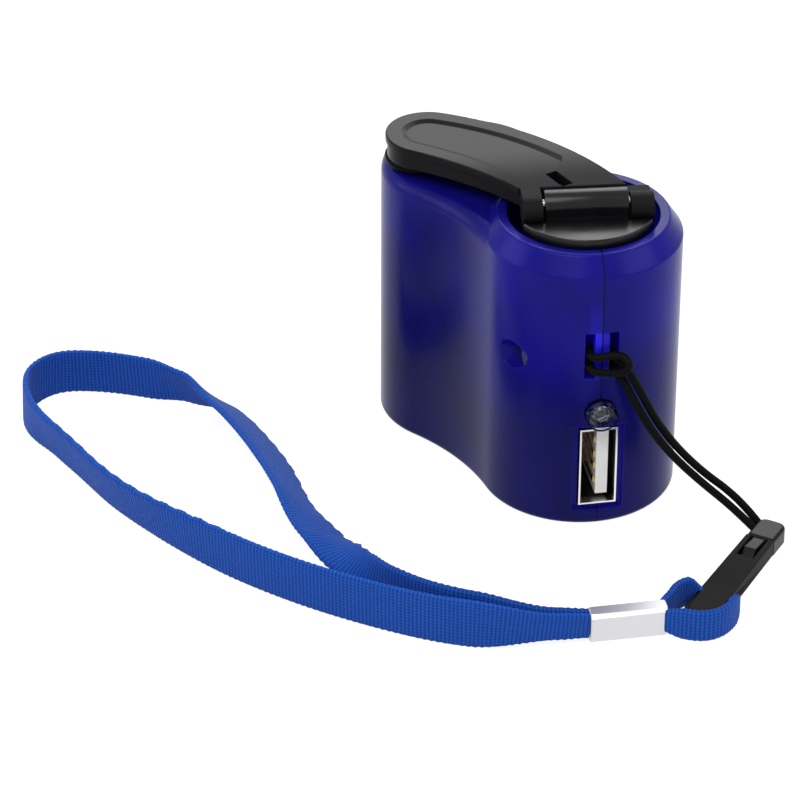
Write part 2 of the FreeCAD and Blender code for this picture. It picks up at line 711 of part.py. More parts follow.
def gear(teeth, phase, at, low):
    """Spur gear at a place, one gear thickness tall."""
    solid = prism(gear_outline(teeth, phase), low, low + GEAR_T)
    return moved_copy(solid, V(at.x, at.y, 0))


def meshing_phase(at, teeth, phase, mate_at, mate_teeth):
    """Phase of a mating gear, so that its gap faces the tooth of the first."""
    line = bearing(at, mate_at)
    shift = MODULE * teeth / 2 * (phase - line) + PITCH / 2
    return line + math.pi - shift / (MODULE * mate_teeth / 2)


def centre_distance(teeth, mate_teeth):
    """Distance between the axles of two gears in mesh."""
    return MODULE * (teeth + mate_teeth) / 2


IDLER_1 = polar(HUB, centre_distance(DRIVE_TEETH, PINION_TEETH), IDLER_1_AT)
IDLER_2 = where_circles_cross(IDLER_1, centre_distance(IDLER_1_TEETH, PINION_TEETH), LOBE,
                              centre_distance(IDLER_2_TEETH, PINION_TEETH), 1)
DRIVE_PHASE = 0.0
FIRST_PHASE = meshing_phase(HUB, DRIVE_TEETH, DRIVE_PHASE, IDLER_1, PINION_TEETH)
SECOND_PHASE = meshing_phase(IDLER_1, IDLER_1_TEETH, FIRST_PHASE, IDLER_2, PINION_TEETH)
ROTOR_PHASE = meshing_phase(IDLER_2, IDLER_2_TEETH, SECOND_PHASE, LOBE, PINION_TEETH)


def make_gears():
    """Drive gear on the crank shaft, two stepped idlers and the rotor's pinion."""
    drive = gear(DRIVE_TEETH, DRIVE_PHASE, HUB, DRIVE_Z)
    save("drive_gear", drive.cut(cylinder(0, 0, 0, HUB_TOP, SHAFT_R + SEAT_FIT)))
    lowest = LOWER_PLATE_Z + PLATE_T + PLATE_GAP
    first = fused([
        cylinder(IDLER_1.x, IDLER_1.y, lowest, DRIVE_Z + GEAR_T, SLEEVE_R),
        gear(IDLER_1_TEETH, FIRST_PHASE, IDLER_1, UPPER_GEAR_Z),
        gear(PINION_TEETH, FIRST_PHASE, IDLER_1, DRIVE_Z),
    ])
    save("idler_gear_1", first.cut(cylinder(IDLER_1.x, IDLER_1.y, 0, HUB_TOP, AXLE_R + RUN_FIT)))
    second = fused([
        cylinder(IDLER_2.x, IDLER_2.y, lowest, UPPER_PLATE_Z - PLATE_GAP, SLEEVE_R),
        gear(IDLER_2_TEETH, SECOND_PHASE, IDLER_2, LOWER_GEAR_Z),
        gear(PINION_TEETH, SECOND_PHASE, IDLER_2, UPPER_GEAR_Z),
    ])
    save("idler_gear_2", second.cut(cylinder(IDLER_2.x, IDLER_2.y, 0, HUB_TOP, AXLE_R + RUN_FIT)))
    pinion = gear(PINION_TEETH, ROTOR_PHASE, LOBE, LOWER_GEAR_Z)
    save("rotor_pinion", pinion.cut(cylinder(LOBE_X, LOBE_Y, 0, HUB_TOP, ROTOR_SHAFT_R + SEAT_FIT)))


def plate(front, low, thick, holes):
    """Flat plate that fits the inside of the housing behind a straight front edge."""
    sheet = prism(body_outline(WALL + AIR), low, low + thick)
    sheet = sheet.common(box(-40, 40, front, 60, 0, 60))
    for x, y, radius in holes:
        sheet = sheet.cut(cylinder(x, y, 0, HUB_TOP, radius))
    return sheet


def make_cage():
    """Two plates, four pillars, two cage screws and the idlers' axles."""
    axles = [(IDLER_1.x, IDLER_1.y), (IDLER_2.x, IDLER_2.y)]
    held = [(x, y, AXLE_R + SEAT_FIT) for x, y in axles]
    screwed = [(x, y, PILLAR_BORE) for x, y in LONG_PILLARS]
    riveted = [(x, y, PILLAR_BORE + SEAT_FIT) for x, y in SHORT_PILLARS]
    rotor_hole = [(LOBE_X, LOBE_Y, ROTOR_SHAFT_R + RUN_FIT)]
    save("lower_plate", plate(LOWER_PLATE_FRONT, LOWER_PLATE_Z, PLATE_T, held + screwed + riveted + rotor_hole))
    pinion_way = [(IDLER_1.x, IDLER_1.y, MODULE * PINION_TEETH / 2 + ADDENDUM + AIR)]
    upper = plate(UPPER_PLATE_FRONT, UPPER_PLATE_Z, UPPER_PLATE_T, pinion_way + held[1:] + screwed + riveted)
    save("upper_plate", upper)
    top = LOWER_PLATE_Z + PLATE_T
    pillars = [tube_ring(x, y, top, UPPER_PLATE_Z, PILLAR_R, PILLAR_BORE) for x, y in LONG_PILLARS]
    for x, y in SHORT_PILLARS:
        stud = cylinder(x, y, LOWER_PLATE_Z, UPPER_PLATE_Z + UPPER_PLATE_T, PILLAR_BORE)
        pillars.append(fused([stud, cylinder(x, y, top, UPPER_PLATE_Z, PILLAR_R)]))
    save("plate_pillars", Part.makeCompound(pillars))
    seat = UPPER_PLATE_Z + UPPER_PLATE_T
    screws = []
    for x, y in LONG_PILLARS:
        shank = cylinder(x, y, CAGE_SCREW_REACH, seat, SCREW_R)
        screws.append(fused([shank, cylinder(x, y, seat, seat + SCREW_HEAD_T, SCREW_HEAD_R)]))
    save("cage_screws", Part.makeCompound(screws))
    first = cylinder(IDLER_1.x, IDLER_1.y, LOWER_PLATE_Z, CUP_LOW + 0.8, AXLE_R)
    second = cylinder(IDLER_2.x, IDLER_2.y, LOWER_PLATE_Z, seat, AXLE_R)
    save("idler_axles", Part.makeCompound([first, second]))


def make_generator():
    """Can with its bearing, wound bobbin, and the magnet that turns on the rotor shaft."""
    wall = tube_ring(LOBE_X, LOBE_Y, CAN_LOW, LOWER_PLATE_Z, CAN_R, CAN_R - CAN_WALL)
    floor = cylinder(LOBE_X, LOBE_Y, CAN_LOW, CAN_LOW + CAN_FLOOR, CAN_R)
    boss = cylinder(LOBE_X, LOBE_Y, CAN_LOW, CAN_LOW + CAN_FLOOR + BEARING_DROP, BEARING_R)
    can = fused([wall, floor, boss])
    save("generator_can", can.cut(cylinder(LOBE_X, LOBE_Y, 0, HUB_TOP, ROTOR_SHAFT_R + RUN_FIT)))
    low = CAN_LOW + CAN_FLOOR
    cheek_low = tube_ring(LOBE_X, LOBE_Y, low, low + COIL_CHEEK, COIL_R, COIL_BORE)
    cheek_top = tube_ring(LOBE_X, LOBE_Y, COIL_TOP - COIL_CHEEK, COIL_TOP, COIL_R, COIL_BORE)
    winding = tube_ring(LOBE_X, LOBE_Y, low, COIL_TOP, COIL_R - COIL_CHEEK_IN, COIL_BORE)
    save("generator_coil", fused([winding, cheek_low, cheek_top]))
    magnet = tube_ring(LOBE_X, LOBE_Y, MAGNET_LOW, MAGNET_TOP, MAGNET_R, ROTOR_SHAFT_R + SEAT_FIT)
    save("rotor_magnet", magnet)
    save("rotor_shaft", cylinder(LOBE_X, LOBE_Y, CAN_LOW, LOWER_GEAR_Z + GEAR_T + PLATE_GAP, ROTOR_SHAFT_R))


def make_crank_drive():
    """Shaft, bush and screw that carry the crank through the floor of the recess."""
    shaft = cylinder(0, 0, DRIVE_Z, SHAFT_TOP, SHAFT_R)
    pilot = cylinder(0, 0, DRIVE_Z, DRIVE_Z + HUB_SCREW_REACH + 0.5, HUB_SCREW_R + SEAT_FIT)
    save("crank_shaft", shaft.cut(pilot))
    bush_low = DRIVE_Z + GEAR_T + AIR
    barrel = tube_ring(0, 0, bush_low, RECESS_FLOOR, BUSH_R, SHAFT_R + RUN_FIT)
    flange = tube_ring(0, 0, RECESS_FLOOR, RECESS_FLOOR + BUSH_FLANGE_T, BUSH_FLANGE_R, SHAFT_R + RUN_FIT)
    save("crank_bush", fused([barrel, flange]))
    head = cylinder(0, 0, DRIVE_Z - HUB_SCREW_HEAD_T, DRIVE_Z, HUB_SCREW_HEAD_R)
    save("hub_screw", fused([head, cylinder(0, 0, DRIVE_Z, DRIVE_Z + HUB_SCREW_REACH, HUB_SCREW_R)]))


def turned(shape):
    """Crank piece set at the angle that the crank stands at."""
    copy = shape.copy()
    copy.rotate(ORIGIN, UP, CRANK_TURN)
    return copy


def hinge_rod(start, end, radius):
    """Round bar along the hinge line."""
    return rod(HINGE, V(1, 0, 0), start, end, radius)


def make_crank_hub():
    """Block that turns in the recess: a ledge in front, a low strip behind, and the hinge barrel across."""
    above = HINGE_Z + BARREL_R + 1
    ledge = cylinder(0, 0, HUB_BLOCK_LOW, HUB_LEDGE_TOP, HUB_BLOCK_R)
    ledge = ledge.common(box(-HUB_R, HUB_R, -HUB_R, HUB_LEDGE_BACK, 0, above))
    strip = box(-HUB_BLOCK_HALF, HUB_BLOCK_HALF, -HUB_R, HUB_R, 0, above)
    low = cylinder(0, 0, HUB_BLOCK_LOW, HUB_BACK_TOP, HUB_BLOCK_R).common(strip)
    far = HINGE_Y + BARREL_R
    web = box(-BARREL_HALF, BARREL_HALF, HUB_LEDGE_BACK - 1, far, HUB_BACK_TOP - 1, HUB_LEDGE_TOP)
    cheeks = box(-BARREL_HALF, BARREL_HALF, HINGE_Y - BARREL_R, far, HUB_BACK_TOP - 1, HINGE_Z)
    block = fused([ledge, low, web, cheeks, hinge_rod(-BARREL_HALF, BARREL_HALF, BARREL_R)])
    for start, end in ((-HUB_R, -BARREL_HALF), (BARREL_HALF, HUB_R)):
        block = block.cut(hinge_rod(start, end, SWING_R))
    block = block.cut(hinge_rod(-HUB_R, HUB_R, HINGE_PIN_R + SEAT_FIT))
    block = block.cut(cylinder(0, 0, 0, SHAFT_TOP, SHAFT_R + SEAT_FIT))
    save("crank_hub", turned(block))
    save("hinge_pin", turned(hinge_rod(AIR - KNUCKLE_LEFT, KNUCKLE_RIGHT - AIR, HINGE_PIN_R)))


def arm_outline(inset, root_y):
    """Outline of the curved arm seen from above, drawn in by a distance and cut straight at its root."""
    tip = V(ARM_TIP_X, ARM_TIP_Y, 0)
    tip_r = ARM_TIP_R - inset
    near_root = V(ARM_ROOT_LEFT, ARM_ROOT_Y, 0)
    far_root = V(ARM_ROOT_RIGHT, ARM_ROOT_Y, 0)
    near = where_circles_cross(near_root, ARM_NEAR_EDGE_R, tip, ARM_NEAR_EDGE_R + ARM_TIP_R, 1)
    far = where_circles_cross(far_root, ARM_FAR_EDGE_R, tip, ARM_FAR_EDGE_R - ARM_TIP_R, 1)
    near_r = ARM_NEAR_EDGE_R + inset
    far_r = ARM_FAR_EDGE_R - inset
    near_end = V(near.x + math.sqrt(near_r ** 2 - (root_y - near.y) ** 2), root_y, 0)
    far_end = V(far.x + math.sqrt(far_r ** 2 - (root_y - far.y) ** 2), root_y, 0)
    edges = [
        Part.makeLine(near_end, far_end),
        arc(far, far_r, bearing(far, far_end), bearing(far, tip)),
        arc(tip, tip_r, bearing(far, tip), bearing(tip, near)),
        arc(near, near_r, bearing(near, near_end), bearing(near, tip)),
    ]
    return joined(edges)


def knuckle(start, end):
    """Round knuckle that hangs below the hinge line."""
    centre = HINGE - V(0, KNUCKLE_FORWARD, KNUCKLE_DROP)
    return rod(centre, V(1, 0, 0), start, end, KNUCKLE_R)


def make_skirt():
    """Side wall under the arm's plate, deeper towards the tip."""
    skirt = prism(arm_outline(ARM_LIP, ARM_ROOT_Y), ARM_TIP_LOW, ARM_TOP - ARM_LIP_T)
    far = ARM_TIP_Y + ARM_TIP_R
    under = loop([V(-HUB_TOP, ARM_ROOT_Y - 1, ARM_LOW), V(-HUB_TOP, far, ARM_TIP_LOW),
                  V(-HUB_TOP, ARM_ROOT_Y - 1, ARM_TIP_LOW)])
    return skirt.cut(Part.Face(under).extrude(V(2 * HUB_TOP, 0, 0)))


def arm_dish():
    """Long shallow dish in the top of the arm, with sloped sides and a scooped end."""
    wires = []
    for side in (-1, 1):
        outline = arm_outline(DISH_INSET - side * DISH_SLOPE, DISH_END_Y - 1)
        wires.append(outline.translated(V(0, 0, ARM_TOP + side * DISH_DEPTH)))
    sides = Part.makeLoft(wires, True)
    beyond = DISH_END_Y + DISH_END_R
    low = ARM_TOP - 2 * DISH_DEPTH
    high = ARM_TOP + 2 * DISH_DEPTH
    end = fused([
        cylinder(DISH_END_X, beyond, low, high, DISH_END_R),
        box(-HUB_TOP, DISH_END_X, DISH_END_Y, beyond, low, high),
        box(-HUB_TOP, HUB_R, beyond, HUB_TOP, low, high),
    ])
    return sides.common(end)


def make_arm():
    """Thin plate with a skirt, a long dish on top, a slot, and two knuckles on the hinge pin."""
    root = ARM_ROOT_Y
    top = prism(arm_outline(0, root), ARM_TOP - ARM_LIP_T, ARM_TOP)
    top = top.makeFillet(ARM_EDGE_ROUND, edges_at(top, ARM_TOP))
    inner = arm_outline(ARM_LIP + ARM_SKIRT_T, root + ARM_SKIRT_T)
    arm = fused([top, make_skirt()]).cut(prism(inner, ARM_TIP_LOW - 1, ARM_TOP - ARM_PLATE_T))
    left = box(-KNUCKLE_LEFT, -KNUCKLE_IN, HINGE_Y, root + KNUCKLE_REACH, ARM_LOW, ARM_TOP)
    right = box(KNUCKLE_IN, KNUCKLE_RIGHT, HINGE_Y, root + KNUCKLE_BRIDGE_W, ARM_LOW, ARM_LOW + KNUCKLE_BRIDGE_T)
    bridge = box(0, KNUCKLE_RIGHT, root, root + KNUCKLE_BRIDGE_W, ARM_LOW, ARM_LOW + KNUCKLE_BRIDGE_T)
    arm = fused([arm, left, right, bridge, knuckle(-KNUCKLE_LEFT, -KNUCKLE_IN), knuckle(KNUCKLE_IN, KNUCKLE_RIGHT)])
    arm = arm.cut(hinge_rod(-HUB_R, HUB_R, HINGE_PIN_R + RUN_FIT))
    arm = arm.cut(arm_dish())
    slot = box(-SLOT_L / 2, SLOT_L / 2, -SLOT_W / 2, SLOT_W / 2, ARM_LOW - 1, ARM_TOP + 1)
    slot.rotate(ORIGIN, UP, SLOT_TURN)
    slot.translate(V(SLOT_X, SLOT_Y, 0))
    arm = arm.cut(slot)
    pin_top = ARM_TOP - DISH_DEPTH - KNOB_PIN_COVER
    save("crank_arm", turned(arm.cut(cylinder(KNOB_X, KNOB_Y, ARM_LOW, pin_top, KNOB_PIN_R + SEAT_FIT))))


def make_knob():
    """Low finger knob with a neck that runs on a headed pin under the arm's tip."""
    grip = cylinder(KNOB_X, KNOB_Y, KNOB_LOW, KNOB_TOP, KNOB_R)
    grip = grip.makeFillet(KNOB_ROUND, edges_at(grip, KNOB_LOW) + edges_at(grip, KNOB_TOP))
    neck = cylinder(KNOB_X, KNOB_Y, KNOB_LOW + 1, KNOB_NECK_TOP, KNOB_NECK_R)
    knob = fused([grip, neck]).cut(cylinder(KNOB_X, KNOB_Y, 0, ARM_TOP, KNOB_PIN_R + RUN_FIT))
    sink = KNOB_LOW + KNOB_PIN_HEAD_T + RUN_FIT
    knob = knob.cut(cylinder(KNOB_X, KNOB_Y, 0, sink, KNOB_PIN_HEAD_R + RUN_FIT))
    save("knob", turned(knob))
    pin = cylinder(KNOB_X, KNOB_Y, KNOB_LOW, ARM_TOP - DISH_DEPTH - KNOB_PIN_COVER, KNOB_PIN_R)
    head = cylinder(KNOB_X, KNOB_Y, KNOB_LOW, KNOB_LOW + KNOB_PIN_HEAD_T, KNOB_PIN_HEAD_R)
    save("knob_pin", turned(fused([pin, head])))


def soft_path(points):
    """Straight runs joined by tangent arcs, each as large as its two runs allow."""
    edges = []
    radii = []
    here = points[0]
    for index in range(1, len(points) - 1):
        before = (points[index - 1] - points[index])
        after = (points[index + 1] - points[index])
        shorter = min(before.Length, after.Length)
        half_turn = (math.pi - before.getAngle(after)) / 2
        reach = 0.45 * shorter
        radii.append(reach / math.tan(half_turn))
        start = points[index] + before.normalize() * reach
        end = points[index] + after.normalize() * reach
        to_centre = (before + after).normalize()
        centre = points[index] + to_centre * math.hypot(reach, radii[-1])
        middle = centre - to_centre * radii[-1]
        edges.append(Part.LineSegment(here, start).toShape())
        edges.append(Part.Arc(start, middle, end).toShape())
        here = end
    edges.append(Part.LineSegment(here, points[-1]).toShape())
    return Part.Wire(edges), radii


def swept(name, points, section):
    """Solid drawn along a soft path, with its radii and its volume set against section times length."""
    path, radii = soft_path(points)
    solid = path.makePipeShell([section], True, False)
    area = Part.Face(section).Area
    print("%s length %.1f radii %s" % (name, path.Length, " ".join("%.1f" % radius for radius in radii)))
    print("%s volume %.2f section times length %.2f" % (name, solid.Volume, area * path.Length))
    return solid


def make_cord():
    """Thin cord from the clip to the bar, hitched round it, and back."""
    points = [V(*point) for point in CORD_ROUTE]
    ring = Part.Circle(points[0], points[1] - points[0], CORD_R).toShape()
    save("lanyard_cord", swept("lanyard cord", points, Part.Wire([ring])))


def band(name, points, low, high):
    """Flat band that stands on its edge along a route in plan."""
    way = (points[1] - points[0]).normalize()
    across = UP.cross(way) * (STRAP_T / 2)
    corners = [points[0] + across, points[0] - across, points[0] - across, points[0] + across]
    heights = (low, low, high, high)
    section = loop([V(corner.x, corner.y, height) for corner, height in zip(corners, heights)])
    return swept(name, [V(point.x, point.y, low) for point in points], section)


def make_strap():
    """Wrist loop of woven strap, gathered where it enters the crimp, and the small end loop."""
    layer = (STRAP_T + LAYER_GAP) / 2
    start = V(CRIMP_LEFT, CRIMP_Y - layer, 0)
    end = V(CRIMP_LEFT, CRIMP_Y + layer, 0)
    route = [start] + [V(x, y, 0) for x, y in STRAP_ROUTE] + [end]
    strap = band("wrist strap", route, 0, STRAP_W)
    low, high = STRAP_IN_CRIMP
    above = loop([V(GATHER_FROM, -60, STRAP_W), V(CRIMP_LEFT + 1, -60, high), V(CRIMP_LEFT + 1, -60, 2 * STRAP_W),
                  V(GATHER_FROM, -60, 2 * STRAP_W)])
    below = loop([V(GATHER_FROM, -60, 0), V(CRIMP_LEFT + 1, -60, low), V(CRIMP_LEFT + 1, -60, -1),
                  V(GATHER_FROM, -60, -1)])
    for wedge in (above, below):
        strap = strap.cut(Part.Face(wedge).extrude(V(0, 40, 0)))
    save("wrist_strap", strap)
    start = V(CRIMP_RIGHT - STRAP_T, CRIMP_Y - layer, 0)
    end = V(CRIMP_RIGHT - STRAP_T, CRIMP_Y + layer, 0)
    route = [start] + [V(x, y, 0) for x, y in LOOP_ROUTE] + [end]
    small = band("end loop", route, 0, LOOP_H)
    small = small.cut(box(CRIMP_LEFT, CRIMP_RIGHT, -60, -30, -1, 2 * LOOP_H))
    beside = CLIP_END_W / 2 + AIR
    keep_low = CLIP_EYE_WALL + 0.1
    keep_high = CLIP_EYE_WALL + CLIP_EYE_H - 0.1
    lower = box(-CLIP_L - 9, 0, -beside, beside, -1, keep_low)
    upper = box(-CLIP_L - 9, 0, -beside, beside, keep_high, 2 * LOOP_H)
    for block in (lower, upper):
        small = small.cut(clip_placed(block))
    low, high = STRAP_IN_CRIMP
    squeeze = box(CRIMP_RIGHT - 1, CRIMP_RIGHT + 1.5, -60, -30, high, 9)
    lift = box(CRIMP_RIGHT - 1, CRIMP_RIGHT + 1.5, -60, -30, -1, low)
    save("strap_end_loop", small.cut(squeeze).cut(lift))


def make_crimp():
    """Folded metal crimp that holds both layers of the strap."""
    block = box(CRIMP_LEFT, CRIMP_RIGHT, CRIMP_Y - CRIMP_T / 2, CRIMP_Y + CRIMP_T / 2, 0, CRIMP_H)
    long_edges = [e for e in block.Edges if abs(e.BoundBox.XMax - e.BoundBox.XMin) > 1]
    block = block.makeChamfer(CRIMP_FACET, long_edges)
    save("crimp", block)


def clip_placed(shape):
    """Clip piece moved from its own axes, with the cap's end at zero, to where the clip lies."""
    copy = shape.copy()
    copy.rotate(ORIGIN, UP, CLIP_TURN)
    copy.translate(V(CLIP_TOP_AT[0], CLIP_TOP_AT[1], 0))
    return copy


def make_clip():
    """Two-part snap clip: a cap with a tongue on the cord, and a sleeve with an eye on the strap."""
    half = CLIP_W / 2
    cap = box(-CLIP_CAP_L, 0, -half, half, 0, CLIP_T)
    corners = [e for e in cap.Edges if abs(e.BoundBox.ZMax - e.BoundBox.ZMin) > 1 and e.BoundBox.XMin > -1]
    cap = cap.makeFillet(1.4, corners)
    cap = cap.makeFillet(0.5, edges_at(cap, CLIP_T))
    tongue_low = (CLIP_T - CLIP_TONGUE_T) / 2
    tongue_half = CLIP_WINDOW_W / 2 - 0.2
    tongue_end = -CLIP_CAP_L - CLIP_WINDOW_L - 2.5
    tongue = box(tongue_end, -CLIP_CAP_L + 1, -tongue_half, tongue_half, tongue_low, tongue_low + CLIP_TONGUE_T)
    latch = loop([V(-CLIP_CAP_L - CLIP_WINDOW_L + 0.4, 0, tongue_low + 1), V(-CLIP_CAP_L - 0.4, 0, tongue_low + 1),
                  V(-CLIP_CAP_L - 0.4, 0, CLIP_T), V(-CLIP_CAP_L - CLIP_WINDOW_L + 1.6, 0, CLIP_T + 0.4)])
    button = Part.Face(latch).extrude(V(0, 2 * tongue_half - 0.4, 0))
    button.translate(V(0, -tongue_half + 0.2, 0))
    save("clip_cap", clip_placed(fused([cap, tongue, button])))
    wide = CLIP_END_W / 2
    sides = loop([V(-CLIP_CAP_L, -half, 0), V(-CLIP_CAP_L, half, 0), V(-CLIP_L, wide, 0), V(-CLIP_L, -wide, 0)])
    sleeve = prism(sides, 0, CLIP_T)
    ends = [e for e in sleeve.Edges if abs(e.BoundBox.ZMax - e.BoundBox.ZMin) > 1 and e.BoundBox.XMin < 1 - CLIP_L]
    sleeve = sleeve.makeFillet(1.0, ends)
    channel = box(tongue_end - 0.3, 0, -tongue_half - 0.1, tongue_half + 0.1, tongue_low - 0.1,
                  tongue_low + CLIP_TONGUE_T + 0.1)
    window = box(-CLIP_CAP_L - CLIP_WINDOW_L, 0, -CLIP_WINDOW_W / 2, CLIP_WINDOW_W / 2, tongue_low, CLIP_T + 1)
    eye_x = -CLIP_L + CLIP_EYE_FROM_END
    eye = box(eye_x - CLIP_EYE_L / 2, eye_x + CLIP_EYE_L / 2, -CLIP_W, CLIP_W, CLIP_EYE_WALL,
              CLIP_EYE_WALL + CLIP_EYE_H)
    save("clip_sleeve", clip_placed(sleeve.cut(channel).cut(window).cut(eye)))


def make_wires():
    """Two insulated leads from the generator to the board."""
    leads = []
    for index in range(2):
        height = WIRE_Z + WIRE_PITCH * index
        start = polar(LOBE, CAN_R, WIRE_LEAVES_AT) + V(0, 0, height)
        end = V(BOARD_X + BOARD_T / 2, BOARD_BACK, height - WIRE_DROP)
        points = [start, start + V(*WIRE_LEAVES_BY, 0), end + V(0, WIRE_ENDS_BY, 0), end]
        points.insert(2, (points[1] + points[2]) * 0.5 + V(*WIRE_SAG))
        ring = Part.Circle(points[0], points[1] - points[0], WIRE_R).toShape()
        leads.append(swept("generator wire", points, Part.Wire([ring])))
    save("generator_wires", Part.makeCompound(leads))


make_shells()
make_case_screws()
make_socket()
make_lamp()
make_board()
make_gears()
make_cage()
make_generator()
make_wires()
make_crank_drive()
make_crank_hub()
make_arm()
make_knob()
make_cord()
make_strap()
make_crimp()
make_clip()
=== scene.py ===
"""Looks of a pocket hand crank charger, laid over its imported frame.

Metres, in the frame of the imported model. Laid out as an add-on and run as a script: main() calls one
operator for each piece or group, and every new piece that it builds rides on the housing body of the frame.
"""
import math

import bmesh
import bpy
from mathutils import Matrix, Vector


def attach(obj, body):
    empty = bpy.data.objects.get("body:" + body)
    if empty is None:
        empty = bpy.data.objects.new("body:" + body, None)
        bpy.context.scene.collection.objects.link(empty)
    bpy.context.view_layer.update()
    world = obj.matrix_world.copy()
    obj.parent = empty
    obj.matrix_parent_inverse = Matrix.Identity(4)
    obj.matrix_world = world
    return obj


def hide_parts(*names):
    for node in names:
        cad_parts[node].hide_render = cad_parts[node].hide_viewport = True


bl_info = {
    "name": "Hand crank charger looks",
    "version": (1, 0, 0),
    "blender": (4, 5, 0),
    "location": "View3D > Sidebar > Hand crank charger",
    "description": "Dresses the packed hand crank charger: shells, crank, socket, lamp, works and lanyard",
    "category": "Object",
}

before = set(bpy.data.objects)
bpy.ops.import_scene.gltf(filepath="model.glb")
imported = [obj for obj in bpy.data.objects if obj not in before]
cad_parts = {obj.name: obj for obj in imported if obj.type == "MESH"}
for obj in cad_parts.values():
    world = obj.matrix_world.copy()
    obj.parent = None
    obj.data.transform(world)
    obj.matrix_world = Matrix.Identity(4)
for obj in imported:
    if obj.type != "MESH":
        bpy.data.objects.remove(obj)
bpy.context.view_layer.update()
HOUSING = "housing"

# Stage: the light that falls on the objects is weaker than the pale ground that is seen
SENSOR_WIDTH = 36
CLIP_START = 0.01
WORLD_LIGHT = 0.3
WORLD_SEEN = 1.0
FLOOR_HALF = 3
FLOOR_SINK = 0.00005
FLOOR_TONE = 0.9
FLOOR_ROUGHNESS = 0.9
FLOOR_SHINE = 0.1
FLOOR_GLOW = 1.25
FLOOR_GLOW_SHARE = 0.72
LAMP_AIM = (-0.02, 0, 0.02)
# Name, place, size and power of each lamp
LAMPS = (
    ("Key", (-0.25, -0.35, 0.75), 0.5, 4.0),
    ("Fill", (0.6, -0.35, 0.45), 0.5, 1.6),
    ("Rim", (0.1, 0.6, 0.5), 0.5, 2.6),
    ("Left", (-0.7, 0.15, 0.3), 0.4, 1.0),
)

# Surfaces: noise, relief, edges that only look rounded, and edges that are cut
NOISE_DETAIL = 4.0
PATCH_SIZE = 12
WEAR = 0.08
LEAST_ROUGHNESS = 0.02
RELIEF_DEPTH = 0.00005
EDGE_SAMPLES = 6
WELD_DISTANCE = 1e-6
BEVEL_FROM = math.radians(50)
CRISP_FROM = math.radians(35)

# Shells: haze in the plastic, and painted shade that makes them darker low down and towards the far lobe
HAZE_SCALE = 70
HAZE_DETAIL = 3.0
HAZE_TONES = (0.7, 1.25)
SHELL_LOW_SHADE = ("Z", 0.010, 0.036, 0.5, 1.0)
SHELL_FAR_SHADE = ("Y", -0.006, 0.010, 1.0, 0.7)
SHELL_GRAIN = 1500
SHELL_RELIEF = 0.02
SHELL_EDGE = 0.00018
SHELL_VALUES = {"Roughness": 0.24, "IOR": 1.2, "Specular IOR Level": 0.4, "Transmission Weight": 0.42}
# Gain in tone, then the edges of each region: axis, start, end, and whether the tone rises or ends there
SHELL_REGIONS = (
    # Lighter strip beside the seam, above the bar
    (0.6, (("X", -0.0021, -0.0017, True), ("X", -0.0002, -0.0001, False), ("Y", -0.0125, -0.0110, False),
           ("Z", 0.0285, 0.0330, True), ("Z", 0.0350, 0.0400, False))),
    # Dark line of the seam
    (-0.75, (("X", -0.00016, -0.00008, True), ("X", 0.00008, 0.00016, False), ("Y", -0.0105, -0.0095, False))),
    # Painted light on the bar over the tunnel, lighter where its highlights fall
    (1.4, (("X", -0.0027, -0.0026, True), ("X", 0.0026, 0.0027, False), ("Y", -0.0106, -0.0102, False),
           ("Z", 0.0252, 0.0255, True), ("Z", 0.0330, 0.0333, False))),
    # Painted light round the socket, a lighter surround where the pocket's edges catch the light
    (1.0, (("X", -0.0041, -0.0038, True), ("X", 0.0038, 0.0041, False), ("Y", -0.0136, -0.0132, False),
           ("Z", 0.0024, 0.0028, True), ("Z", 0.0170, 0.0176, False))),
)

# Weave: one crossing thread for each rib, a little finer than the ribs
THREAD_PITCH = 0.9
THREAD_SHARE = 0.6
WEAVE_LEVEL = 1.6
WEAVE_TONES = (0.55, 1.35)
WEAVE_STOPS = (0.1, 0.85)
FUZZ_SCALE = 2600
FUZZ_SHARE = 0.35
WEAVE_RELIEF = 0.8
WEAVE_DEPTH = 0.00012
WEAVE_VALUES = {"Roughness": 0.8, "Specular IOR Level": 0.2, "Sheen Weight": 0.06, "Sheen Roughness": 0.4}

# Lamp: clear and almost smooth
LENS_VALUES = {"Base Color": (0.85, 0.88, 1.0, 1.0), "Roughness": 0.04, "Transmission Weight": 1.0, "IOR": 1.5}
LENS_GRAIN = 500
LENS_RELIEF = 0.02

# Crank arm's gloss along Y, and painted shade on the socket shell, darker deeper inside the socket along Y
ARM_GLOSS = ("Y", 0.002, 0.015, 0.6, 0.26)
SOCKET_SHADE = ("Y", -0.0143, -0.0125, 1.0, 0.15)

BLACK = (0.003, 0.003, 0.003)

# Nodes of the works, with the name and the values of their finish
WORKS = (
    (("drive_gear", "idler_gear_1", "idler_gear_2", "crank_bush"), "milky gear plastic",
     {"colour": (0.62, 0.61, 0.56), "roughness": 0.4}),
    (("lower_plate", "upper_plate"), "dark plate plastic", {"colour": (0.02, 0.02, 0.05), "roughness": 0.45}),
    (("plate_pillars", "rotor_pinion"), "turned brass",
     {"colour": (0.7, 0.5, 0.2), "roughness": 0.25, "metallic": 1.0}),
    (("generator_can",), "rolled can steel", {"colour": (0.4, 0.4, 0.42), "roughness": 0.35, "metallic": 1.0}),
    (("generator_coil",), "wound copper",
     {"colour": (0.55, 0.22, 0.08), "roughness": 0.35, "metallic": 0.6, "grain": 2500, "relief": 0.6}),
    (("rotor_magnet",), "dark magnet", {"colour": (0.05, 0.05, 0.055), "roughness": 0.4}),
    (("generator_wires",), "red wire sleeve", {"colour": (0.4, 0.02, 0.015), "roughness": 0.45}),
    (("circuit_board",), "green board", {"colour": (0.02, 0.16, 0.06), "roughness": 0.4}),
    (("capacitor",), "capacitor sleeve", {"colour": (0.02, 0.03, 0.12), "roughness": 0.35}),
    (("regulator_chip", "diodes"), "moulded chip body", {"colour": (0.02, 0.02, 0.02), "roughness": 0.5}),
)

